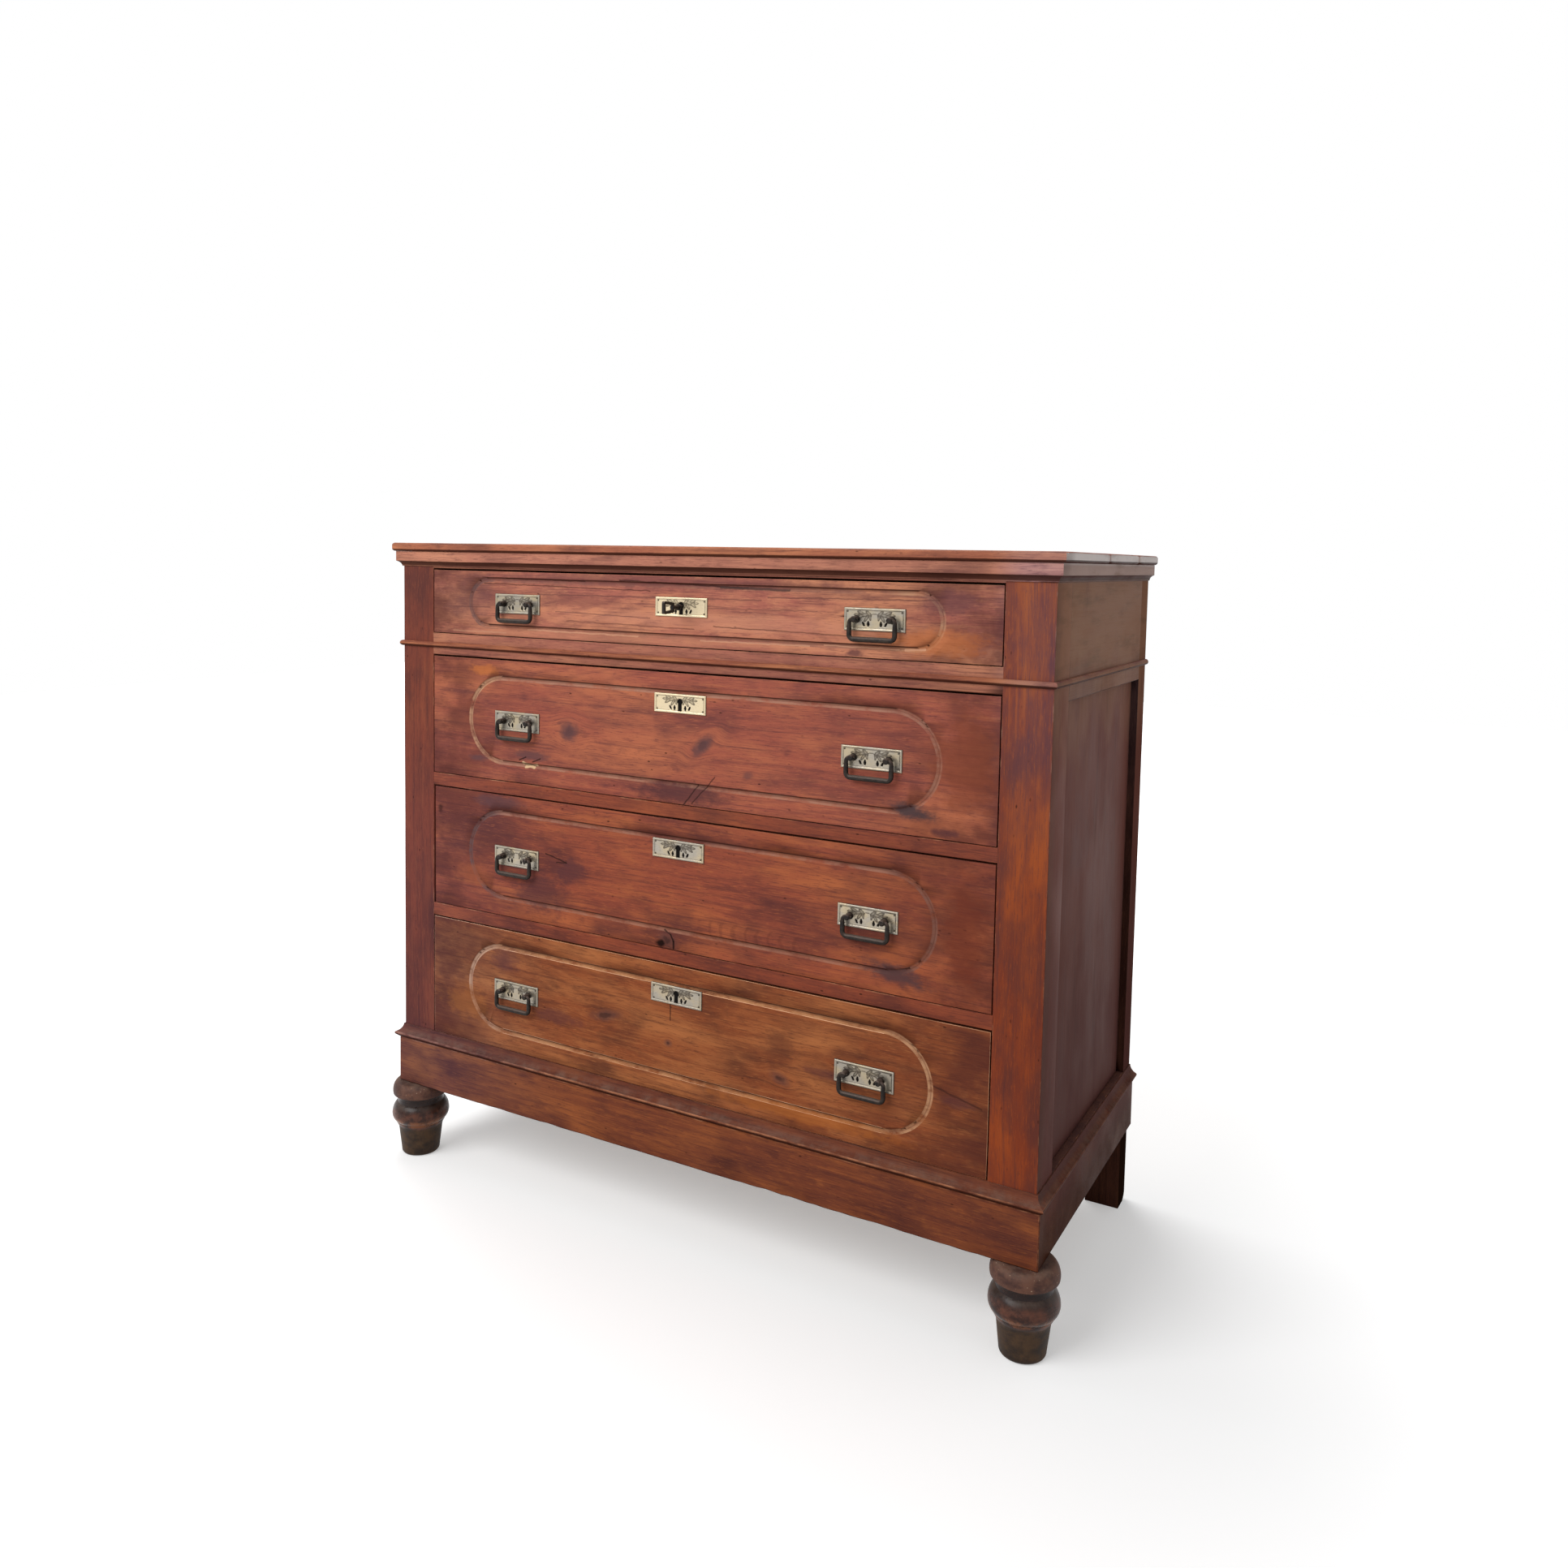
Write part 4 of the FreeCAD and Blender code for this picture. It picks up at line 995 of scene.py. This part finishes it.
front_marks = {
    1: FrontMarks(
        stains=(
            (-0.36, 0.862, 0.05, 0.04, 0, grey_purple, 0.3),
            (-0.12, 0.813, 0.30, 0.011, 0, srgb(174, 110, 82), 0.5),
            (0.08, 0.842, 0.30, 0.014, 0, srgb(182, 116, 92), 0.4),
            (-0.05, 0.892, 0.36, 0.012, 0, srgb(104, 60, 56), 0.6),
            (0.37, 0.878, 0.045, 0.018, 0, srgb(100, 58, 58), 0.65),
            (0.412, 0.828, 0.026, 0.018, 0, srgb(98, 54, 52), 0.65),
            (-0.17, 0.862, 0.09, 0.010, 0, srgb(116, 66, 58), 0.5),
            (0.25, 0.812, 0.014, 0.006, 0, deep_purple, 0.8),
            (0.36, 0.83, 0.08, 0.02, 0, srgb(172, 92, 48), 0.6),
        ),
        splits=(
            ((-0.10, 0.892), (0.10, 0.887), 0.0016, split_brown, 0.75),
            ((0.06, 0.887), (0.16, 0.8855), 0.0022, srgb(70, 50, 44), 0.8),
            ((-0.24, 0.869), (0.12, 0.872), 0.0014, hair_brown, 0.6),
            ((-0.30, 0.890), (-0.16, 0.889), 0.0013, split_brown, 0.7),
            ((0.13, 0.876), (0.36, 0.879), 0.0013, hair_brown, 0.65),
            ((-0.06, 0.858), (0.20, 0.861), 0.0010, srgb(104, 64, 56), 0.6),
            ((-0.21, 0.846), (-0.05, 0.843), 0.0011, srgb(104, 64, 56), 0.6),
            ((0.05, 0.836), (0.24, 0.833), 0.0011, split_brown, 0.55),
            ((-0.42, 0.846), (-0.33, 0.848), 0.0012, hair_brown, 0.6),
            ((-0.34, 0.882), (-0.05, 0.879), 0.0012, split_brown, 0.6),
            ((-0.19, 0.834), (0.02, 0.831), 0.0012, srgb(92, 52, 46), 0.6),
            ((-0.26, 0.8185), (-0.07, 0.8178), 0.0014, rubbed_tan, 0.5),
            ((0.03, 0.8170), (0.19, 0.8178), 0.0014, rubbed_tan, 0.5),
            ((0.21, 0.8200), (0.31, 0.8196), 0.0012, rubbed_tan, 0.5),
            ((-0.40, 0.812), (-0.30, 0.8125), 0.0016, srgb(176, 120, 92), 0.6),
            ((0.318, 0.8195), (0.343, 0.8215), 0.0022, rubbed_tan, 0.75),
        ),
        groove=(groove_grey, groove_brown, groove_tan, 0.75),
    ),
    2: FrontMarks(
        knots=((-0.185, 0.681, 0.017, 0.015, 0), (0.036, 0.681, 0.021, 0.009, 40)),
        stains=(
            (-0.252, 0.640, 0.035, 0.009, 0, grey_purple, 0.8),
            (0.0, 0.614, 0.08, 0.018, 0, srgb(76, 46, 47), 0.75),
            (0.331, 0.628, 0.036, 0.011, -10, srgb(70, 54, 54), 0.95),
            (0.375, 0.607, 0.022, 0.006, 0, deep_purple, 0.8),
            (-0.35, 0.628, 0.022, 0.006, 0, grey_purple, 0.8),
            (0.105, 0.648, 0.010, 0.006, 0, grey_purple, 0.6),
            (-0.34, 0.757, 0.035, 0.009, 0, srgb(178, 98, 52), 0.7),
            (0.40, 0.69, 0.05, 0.07, 0, srgb(130, 64, 42), 0.5),
            (-0.185, 0.679, 0.016, 0.014, 0, grey_purple, 0.75),
            (0.036, 0.680, 0.020, 0.010, 40, grey_purple, 0.75),
        ),
        splits=(
            ((0.008, 0.600), (0.030, 0.628), 0.0014, split_brown, 0.75),
            ((0.020, 0.602), (0.055, 0.640), 0.0013, split_brown, 0.7),
            ((-0.267, 0.6285), (-0.247, 0.6232), 0.0031, pale_chip, 0.95),
            ((-0.262, 0.6232), (-0.242, 0.6275), 0.0027, pale_chip, 0.95),
            ((-0.265, 0.6262), (-0.244, 0.6254), 0.0011, split_brown, 0.8),
            ((-0.274, 0.632), (-0.262, 0.637), 0.0013, near_black, 0.8),
            ((-0.25, 0.631), (-0.236, 0.637), 0.0013, near_black, 0.8),
        ),
        groove=(groove_tan, srgb(160, 110, 88), srgb(152, 104, 84), 0.9),
    ),
    3: FrontMarks(
        knots=((-0.016, 0.413, 0.016, 0.011, -25),),
        stains=(
            (-0.235, 0.445, 0.055, 0.036, 0, srgb(78, 47, 48), 0.7),
            (-0.18, 0.483, 0.035, 0.022, 20, deep_purple, 0.8),
            (0.312, 0.427, 0.050, 0.014, -8, srgb(80, 56, 56), 0.9),
            (-0.31, 0.566, 0.05, 0.012, 0, grey_purple, 0.7),
            (0.02, 0.555, 0.14, 0.009, 0, deep_purple, 0.45),
            (-0.36, 0.455, 0.04, 0.02, 0, srgb(162, 86, 52), 0.45),
            (-0.426, 0.546, 0.006, 0.009, 0, near_black, 0.6),
            (-0.027, 0.4075, 0.0085, 0.0055, 0, near_black, 1.0),
            (0.405, 0.49, 0.03, 0.08, 0, srgb(112, 50, 34), 0.45),
        ),
        splits=(
            ((-0.225, 0.503), (-0.188, 0.4945), 0.0015, split_brown, 0.85),
            ((-0.205, 0.4925), (-0.188, 0.4945), 0.0013, split_brown, 0.8),
            ((-0.021, 0.4265), (-0.010, 0.4215), 0.0014, split_brown, 0.8),
            ((-0.010, 0.4215), (-0.006, 0.4125), 0.0018, near_black, 0.85),
            ((-0.006, 0.4125), (-0.0055, 0.4035), 0.0020, near_black, 0.9),
        ),
        ripples=((0.02, 0.21, 0.440, 0.014, 0.018, 0.28),),
        groove=(groove_grey, srgb(154, 106, 86), srgb(122, 84, 72), 0.8),
    ),
    4: FrontMarks(
        knots=(
            (-0.118, 0.290, 0.027, 0.008, 14),
            (-0.013, 0.272, 0.006, 0.005, 0),
            (0.160, 0.262, 0.015, 0.008, -20),
        ),
        stains=(
            (0.158, 0.302, 0.026, 0.03, 0, srgb(84, 48, 38), 0.5),
            (0.235, 0.283, 0.05, 0.009, 0, deep_purple, 0.55),
            (-0.30, 0.335, 0.03, 0.022, 0, deep_purple, 0.6),
            (-0.20, 0.27, 0.05, 0.012, 0, deep_purple, 0.5),
            (0.40, 0.287, 0.03, 0.008, 0, deep_purple, 0.6),
            (-0.37, 0.26, 0.05, 0.03, 0, srgb(158, 92, 46), 0.5),
            (0.20, 0.222, 0.16, 0.012, 0, srgb(168, 96, 44), 0.5),
        ),
        splits=(
            ((-0.010, 0.327), (-0.009, 0.305), 0.0012, split_brown, 0.8),
            ((0.37, 0.300), (0.43, 0.286), 0.0016, split_brown, 0.5),
        ),
        groove=(srgb(178, 134, 104), srgb(176, 124, 86), srgb(182, 136, 102), 1.0),
    ),
}
# Each front's stain colours are lighter and pinker on the upper fronts: partly the board's own colour and
# partly painted sheen.
front_stain_and_sheen = {
    1: (srgb(160, 90, 73), srgb(98, 57, 54), srgb(190, 120, 86), (0.22, 0.29)),
    2: (srgb(148, 77, 60), srgb(92, 52, 50), srgb(172, 97, 67), (0.24, 0.26)),
    3: (srgb(141, 72, 53), srgb(84, 47, 45), srgb(166, 92, 58), (0.26, 0.27)),
    4: (srgb(134, 73, 45), srgb(82, 47, 37), srgb(166, 102, 62), (0.24, 0.28)),
}
front_rub = {1: 0.2, 2: 0.2, 3: 0.15, 4: 0.45}
front_pale = {1: worn_pine, 2: worn_pine, 3: worn_pine, 4: srgb(226, 172, 134)}
front_shift = {1: (0.3, 0.9, 0.0), 2: (1.7, 0.2, 0.0), 3: (2.9, 1.3, 0.1), 4: (4.2, 0.6, 0.2)}


def grooved_front(number):
    """A drawer front with worn edges, its groove marked for wear and its left end planed back or not."""
    node = "drawer_%d_front" % number
    shape = joinery_copy(node)
    low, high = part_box(node)
    if number in front_planed:
        planed, deep = front_planed[number]
        cut(shape, low + Vector((0, deep, 0)), (0, 1, 0))
        for vert in shape.verts:
            if vert.co.x < low.x + on_face and vert.co.y < low.y + on_face:
                vert.co.x += planed
    rub_edges(shape, front_edge[number], lambda middle: middle.y < low.y + on_face, front_long)
    groove = shape.faces.layers.float.new("groove")
    shallow, deep = groove_mark_depth
    for face in shape.faces:
        middle = face.calc_center_median()
        inside = min(middle.x - low.x, high.x - middle.x) > groove_inset
        if shallow < middle.y - low.y < deep and inside and face.normal.y < groove_facing:
            face[groove] = 1.0
    sawn_across(shape, 0, front_step)
    aged_board(shape, 2, front_step)
    return shape


for number in drawer_numbers:
    drawer = "drawer_%d" % number
    red, dark, warm, shares = front_stain_and_sheen[number]
    material = stained_pine(
        drawer + "_front_pine", along_x, front_shift[number], red, dark, warm, shares, front_rub[number],
        marks=front_marks[number], pale=front_pale[number],
    )
    board = grooved_front(number)
    dressed(drawer + "_front_board", board, material, drawer, "stained_pine", drawer + "_front")


# Locks: iron cases let into the backs of the fronts, with a bolt that the key lifts into the rail
# above the top drawer.


def black_iron():
    """Blackened iron with brown rust in its hollows and a painted highlight on whatever faces up."""
    material, tree, shader, place = new_material("black_iron")
    blotches = cloudy(tree, place, (160, 160, 160), 4.0, 0.6)
    specks = cloudy(tree, place, (700, 700, 700))
    colour = glazed(
        tree,
        srgb(23, 19, 17),
        (blotches, 0.35, 0.65, 1.0, srgb(44, 36, 30)),
        (specks, 0.6, 0.75, 0.6, srgb(66, 46, 33)),
        # Painted highlight: faces that turn upward are lighter, as if lit from above.
        (facing(tree)["Z"], 0.05, 0.85, 0.6, srgb(108, 92, 84)),
    )
    rough = plus(tree, eased(tree, specks, 0.3, 0.7, 0.2), 0.38)
    coated(tree, shader, colour, rough, plus(tree, blotches, specks), depth=0.0003, strength=0.4, gloss=0.2)
    shader.inputs["Metallic"].default_value = 0.25
    return material


iron = black_iron()
for number in drawer_numbers:
    refinished("drawer_%d_lock" % number, iron)
refinished("drawer_1_bolt", iron)


# Plates: thin nickelled plates stamped with a round rim, two sprays of leaves and small slots, two
# behind the bails and one round the keyhole of each drawer, held by a pin at each corner.
handle_plate = (0.081, 0.028)
lock_plate = (0.081, 0.0256)
plate_cells = (135, 47)
plate_rim = (0.003, 0.0008)
plate_pin_inset = 0.0046
plate_pin_radius = 0.0013
handle_offset = 0.278
spray_leaves = (
    (0.0078, 0.0070, 0.0042, 0.0017, 40),
    (0.0124, 0.0052, 0.0048, 0.0018, -15),
    (0.0108, 0.0010, 0.0040, 0.0016, -55),
    (0.0178, 0.0076, 0.0043, 0.0016, 20),
    (0.0188, 0.0028, 0.0043, 0.0016, -30),
    (0.0234, 0.0054, 0.0032, 0.0013, 0),
    (0.0060, 0.0020, 0.0030, 0.0013, 75),
)
spray_slots = ((0.0084, -0.0056, 0.0016, 0.0036, 0), (0.0148, -0.0056, 0.0015, 0.0032, -28))
keyhole_round = (0.0041, 0.0022)
keyhole_slot = (0.0029, 0.0098)
keyhole_depth = 0.0011
slot_depth = 0.0007
leaf_lift = 0.00028
leaf_shade = -0.3
stem_bow = (0.0005, 1.1, 0.0068)
stem_width = 0.0005
stem_from = 0.001


def oval(across, up, spot):
    """How far inside a turned oval a place is: 1 at its middle, 0 at its edge and below outside."""
    centre_x, centre_z, wide, tall, turn = spot
    angle = math.radians(turn)
    off_x, off_z = across - centre_x, up - centre_z
    share_x = (off_x * math.cos(angle) + off_z * math.sin(angle)) / wide
    share_z = (off_z * math.cos(angle) - off_x * math.sin(angle)) / tall
    return 1 - math.hypot(share_x, share_z)


def stamped(size, across, up, keyhole):
    """Relief over the field, and darkness of the tarnish, at a place on a plate."""
    edge = min(size[0] / 2 - abs(across), size[1] / 2 - abs(up))
    rim_width, rim_height = plate_rim
    if edge < rim_width:
        bow = 1 - (2 * edge / rim_width - 1) ** 2
        return rim_height * math.sqrt(max(bow, 0)), 0.25 * (1 - bow)
    if keyhole:
        in_round = math.hypot(across, up - keyhole_round[1]) < keyhole_round[0]
        in_slot = abs(across) < keyhole_slot[0] and -keyhole_slot[1] < up < 0
        if in_round or in_slot:
            return -keyhole_depth, 1.0
    mirrored = abs(across)
    if max(oval(mirrored, up, slot) for slot in spray_slots) > 0:
        return -slot_depth, 1.0
    relief, tarnish = 0.0, max(0.0, 1 - abs(edge - rim_width - 0.0004) / 0.0007) * 0.7
    lift = max(oval(mirrored, up, leaf) for leaf in spray_leaves)
    if lift > leaf_shade:
        relief = leaf_lift * min(1, max(0, lift) * 2.5)
        tarnish = max(tarnish, 0.8 - 0.55 * max(0, lift))
    start, squash, reach = stem_bow
    stem = abs(math.hypot(mirrored - start, (up - start) * squash) - reach)
    if stem < stem_width and up > stem_from:
        tarnish = max(tarnish, 0.7)
    return relief, tarnish


def plate(shape, size, middle, seat, back_face, keyhole):
    """Adds one stamped plate to a shape: a fine grid raised into relief, with a closed back and pins."""
    tarnish = shape.verts.layers.float.get("tarnish") or shape.verts.layers.float.new("tarnish")
    columns, rows = plate_cells
    made = bmesh.ops.create_grid(shape, x_segments=columns, y_segments=rows, size=0.5)["verts"]
    bmesh.ops.scale(shape, vec=(size[0], size[1], 1), verts=made)
    rim = [edge for vert in made for edge in vert.link_edges if edge.is_boundary]
    skirt = bmesh.ops.extrude_edge_only(shape, edges=list(dict.fromkeys(rim)))["geom"]
    skirt_verts = [item for item in skirt if isinstance(item, bmesh.types.BMVert)]
    skirt_edges = [item for item in skirt if isinstance(item, bmesh.types.BMEdge)]
    bmesh.ops.edgeloop_fill(shape, edges=[edge for edge in skirt_edges if edge.is_boundary])
    for vert in made:
        relief, dark = stamped(size, vert.co.x, vert.co.y, keyhole)
        vert[tarnish] = dark
        vert.co = Vector((middle[0] + vert.co.x, seat - relief, middle[1] + vert.co.y))
    for vert in skirt_verts:
        vert.co = Vector((middle[0] + vert.co.x, back_face, middle[1] + vert.co.y))
        vert[tarnish] = 0.6
    for side in (-1, 1):
        for level in (-1, 1):
            pin_x = middle[0] + side * (size[0] / 2 - plate_pin_inset)
            pin_z = middle[1] + level * (size[1] / 2 - plate_pin_inset)
            place = Matrix.Translation((pin_x, seat, pin_z)) @ Matrix.Diagonal((1, 0.6, 1, 1))
            pin = bmesh.ops.create_icosphere(shape, subdivisions=2, radius=plate_pin_radius, matrix=place)
            for vert in pin["verts"]:
                vert[tarnish] = 0.8


def nickel():
    """Old nickel plate: dull silver with warm yellow patches, dark in its hollows."""
    material, tree, shader, place = new_material("nickel_plate")
    clouds = cloudy(tree, place, (38, 60, 60), 4.0, 0.6)
    scuffs = cloudy(tree, place, (260, 900, 900))
    colour = tinted(tree, eased(tree, clouds, 0.4, 0.7), srgb(146, 139, 128), srgb(162, 148, 123))
    parts = axes(tree, place)
    near_middle = eased(tree, maths(tree, "ABSOLUTE", parts["X"]), 0.06, 0.05)
    handled = times(tree, near_middle, eased(tree, parts["Z"], 0.65, 0.7))
    colour = tinted(tree, times(tree, handled, 0.75), colour, srgb(212, 194, 160))
    colour = tinted(tree, eased(tree, scuffs, 0.55, 0.75, 0.4), colour, srgb(104, 96, 86))
    dark = add(tree, "Attribute", attribute_name="tarnish").outputs["Fac"]
    colour = tinted(tree, dark, colour, srgb(52, 44, 38))
    hole = eased(tree, dark, 0.85, 0.95)
    colour = tinted(tree, hole, colour, srgb(14, 11, 9))
    rough = plus(tree, eased(tree, scuffs, 0.3, 0.7, 0.16), 0.3)
    rough = plus(tree, rough, times(tree, hole, 0.25))
    rough = plus(tree, rough, times(tree, dark, 0.25))
    coated(tree, shader, colour, rough, plus(tree, clouds, scuffs), depth=0.0002, strength=0.25, gloss=0.1)
    tree.links.new(less(tree, 0.9, times(tree, hole, 0.9)), shader.inputs["Metallic"])
    return material


plate_nickel = nickel()
for number in drawer_numbers:
    drawer = "drawer_%d" % number
    node = drawer + "_plates"
    plate_low, plate_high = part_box(node)
    plate_field = plate_low.y + plate_rim[1]
    post_low, post_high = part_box(drawer + "_posts")
    handle_level = (post_low.z + post_high.z) / 2
    lock_level = plate_high.z - handle_plate[1] / 2
    plates = bmesh.new()
    for offset in (-handle_offset, handle_offset):
        plate(plates, handle_plate, (offset, handle_level), plate_field, plate_high.y, False)
    plate(plates, lock_plate, (0.0, lock_level), plate_field, plate_high.y, True)
    bmesh.ops.recalc_face_normals(plates, faces=plates.faces)
    dressed(drawer + "_stamped_plates", plates, plate_nickel, drawer, "nickel_plate", node, crease=50)


# Eye posts: small turned iron posts through each handle plate, riveted in the front, with a cross
# hole that carries the end of a bail.
for number in drawer_numbers:
    refinished("drawer_%d_posts" % number, iron)


# Bails: drop handles of forged iron wire. Each end turns in through a post, and the lower bar is a
# little thicker where the hand pulls.
bail_wire = 0.0025
bail_cad_wire = 0.0023
bail_cad_drop = 0.0275
bail_pin = 0.0015
bail_pin_tip = 0.0187
bail_leg = 0.03
bail_shoulder = 0.0042
bail_corner = 0.0055
bail_drop = 0.0240
bail_leg_swell = 1.2
bail_bar_swell = 1.1
bail_neck = 0.007
bail_sides = 16
bail_bend_steps = 6
bail_pin_step = 0.0012
bail_bar_start = 0.006
bail_dent_size = 0.006
bail_dents = 0.00012
bail_merge = 1e-5


def forged_bail(middle, pivot_y, level):
    """Half a bail drawn out from its pin, bent twice and mirrored."""
    shape = bmesh.new()
    turn = Matrix.Translation((bail_pin_tip, 0, 0)) @ Matrix.Rotation(math.pi / 2, 4, "Y")
    end = bmesh.ops.create_circle(shape, cap_ends=True, segments=bail_sides, radius=bail_pin, matrix=turn)
    ring = list(dict.fromkeys(edge for vert in end["verts"] for edge in vert.link_edges))

    def drawn(edges, run, swell=1.0):
        made = bmesh.ops.extrude_edge_only(shape, edges=edges)["geom"]
        verts = [item for item in made if isinstance(item, bmesh.types.BMVert)]
        bmesh.ops.translate(shape, verts=verts, vec=run)
        centre = sum((vert.co for vert in verts), Vector()) / len(verts)
        bmesh.ops.scale(shape, verts=verts, vec=(swell, swell, swell), space=Matrix.Translation(-centre))
        return [item for item in made if isinstance(item, bmesh.types.BMEdge)]

    def bent(edges, pivot):
        verts = list(dict.fromkeys(vert for edge in edges for vert in edge.verts))
        made = bmesh.ops.spin(
            shape, geom=verts + edges, cent=pivot, axis=(0, 1, 0), angle=math.pi / 2, steps=bail_bend_steps
        )
        return [item for item in made["geom_last"] if isinstance(item, bmesh.types.BMEdge)]

    inner = bail_leg - bail_shoulder
    ring = drawn(ring, (inner - bail_pin_step - bail_pin_tip, 0, 0))
    ring = drawn(ring, (bail_pin_step, 0, 0), bail_wire / bail_pin)
    ring = bent(ring, (inner, 0, -bail_shoulder))
    ring = drawn(ring, (0, 0, -bail_neck), bail_leg_swell)
    ring = drawn(ring, (0, 0, -(bail_drop - bail_shoulder - bail_corner - bail_neck)))
    ring = bent(ring, (bail_leg - bail_corner, 0, bail_corner - bail_drop))
    ring = drawn(ring, (-bail_bar_start, 0, 0), bail_bar_swell)
    ring = drawn(ring, (-(bail_leg - bail_corner - bail_bar_start), 0, 0))
    everything = shape.verts[:] + shape.edges[:] + shape.faces[:]
    bmesh.ops.mirror(shape, geom=everything, axis="X", merge_dist=bail_merge)
    closed(shape)
    weathered(shape, bail_dent_size, bail_dents)
    bmesh.ops.translate(shape, verts=shape.verts, vec=(middle, pivot_y, level))
    return shape


for number in drawer_numbers:
    for side, offset in (("left", -handle_offset), ("right", handle_offset)):
        node = "drawer_%d_%s_bail" % (number, side)
        low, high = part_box(node)
        bail = forged_bail(offset, (low.y + high.y) / 2, low.z + bail_cad_wire + bail_cad_drop)
        dressed(node + "_forged", bail, iron, node, "black_iron", node, crease=45)


# Key: a small iron key left in the top drawer's lock, with an open bow of rounded triangle form, a
# collar on its shank and a bit inside the lock.
key_round = 0.0009
key_bow_from = -0.2
key_shortest = 0.001
key = joinery_copy("drawer_1_key")
rub_edges(key, key_round, lambda middle: middle.y < key_bow_from, key_shortest)
dressed("drawer_1_key_iron", key, iron, "drawer_1_key", "black_iron", "drawer_1_key", crease=40)


# Studio: a pale floor, a white surround, one large soft window light from the upper left and a weak
# fill, with the camera at the photograph's place.
floor_size = 14.0
floor_grey = 0.80
floor_speckle = 0.02
floor_glow = 0.34
surround_grey = 0.42
camera_place = Vector((0.9016, -1.5414, 0.9228))
camera_look = Vector((-0.48445, 0.87187, -0.07175)).normalized()
camera_right = Vector((0.87331, 0.48680, 0.01877))
camera_sensor = 36.0
camera_lens = 28.375
camera_shift = -0.0859


def seen_ray(tree):
    """One for rays that the camera sees, straight, in a reflection or through glass."""
    path = add(tree, "LightPath").outputs
    seen = maths(tree, "MAXIMUM", path["Is Camera Ray"], path["Is Glossy Ray"])
    return maths(tree, "MAXIMUM", seen, path["Is Transmission Ray"])


def pale_floor():
    """A matt pale floor that the camera sees as white, apart from the chest's own shadow."""
    material, tree, shader, place = new_material("pale_floor")
    speckle = cloudy(tree, place, (3, 3, 3), 4.0)
    tone = plus(tree, times(tree, speckle, floor_speckle), floor_grey - floor_speckle / 2)
    grey = add(tree, "CombineColor", {0: tone, 1: tone, 2: tone}).outputs[0]
    tree.links.new(grey, shader.inputs["Base Color"])
    shader.inputs["Roughness"].default_value = 0.9
    shader.inputs["Specular IOR Level"].default_value = 0.1
    glow = add(tree, "Emission", {"Color": (1, 1, 1, 1)})
    far = measured(tree, "LENGTH", place)
    level = plus(tree, eased(tree, far, 0.7, 2.4, 0.8), floor_glow)
    tree.links.new(times(tree, seen_ray(tree), level), glow.inputs["Strength"])
    both = add(tree, "AddShader", {0: shader.outputs[0], 1: glow.outputs[0]})
    tree.links.new(both.outputs[0], tree.nodes["Material Output"].inputs["Surface"])
    return material


floor_shape = bmesh.new()
bmesh.ops.create_grid(floor_shape, x_segments=1, y_segments=1, size=floor_size / 2)
floor_mesh = bpy.data.meshes.new("floor")
floor_shape.to_mesh(floor_mesh)
floor_shape.free()
floor_mesh.materials.append(pale_floor())
floor = bpy.data.objects.new("floor", floor_mesh)
bpy.context.scene.collection.objects.link(floor)

world = bpy.data.worlds.new("white_surround")
bpy.context.scene.world = world
world.use_nodes = True
sky = world.node_tree
surround = sky.nodes["Background"]
level = plus(sky, times(sky, seen_ray(sky), 1 - surround_grey), surround_grey)
surround.inputs["Color"].default_value = (1, 1, 1, 1)
sky.links.new(level, surround.inputs["Strength"])


def soft_light(name, place, target, size, power):
    """A square soft light aimed at a point of the chest."""
    lamp = bpy.data.lights.new(name, "AREA")
    lamp.shape = "RECTANGLE"
    lamp.size, lamp.size_y = size
    lamp.energy = power
    made = bpy.data.objects.new(name, lamp)
    made.location = place
    made.rotation_euler = (Vector(target) - Vector(place)).to_track_quat("-Z", "Y").to_euler()
    bpy.context.scene.collection.objects.link(made)


soft_light("window", (-0.9, -2.3, 2.3), (0.0, -0.1, 0.55), (2.2, 1.6), 64)
soft_light("overhead", (-0.9, 0.9, 2.8), (0.1, -0.1, 0.0), (2.2, 2.2), 55)

camera = bpy.data.objects.new("camera", bpy.data.cameras.new("camera"))
camera_right = (camera_right - camera_look * camera_right.dot(camera_look)).normalized()
camera_up = camera_right.cross(camera_look)
turned = Matrix((camera_right, camera_up, -camera_look)).transposed()
camera.matrix_world = Matrix.Translation(camera_place) @ turned.to_4x4()
camera.data.sensor_width = camera_sensor
camera.data.lens = camera_lens
camera.data.shift_y = camera_shift
bpy.context.scene.collection.objects.link(camera)
bpy.context.scene.camera = camera
bpy.context.scene.view_settings.view_transform = "Standard"
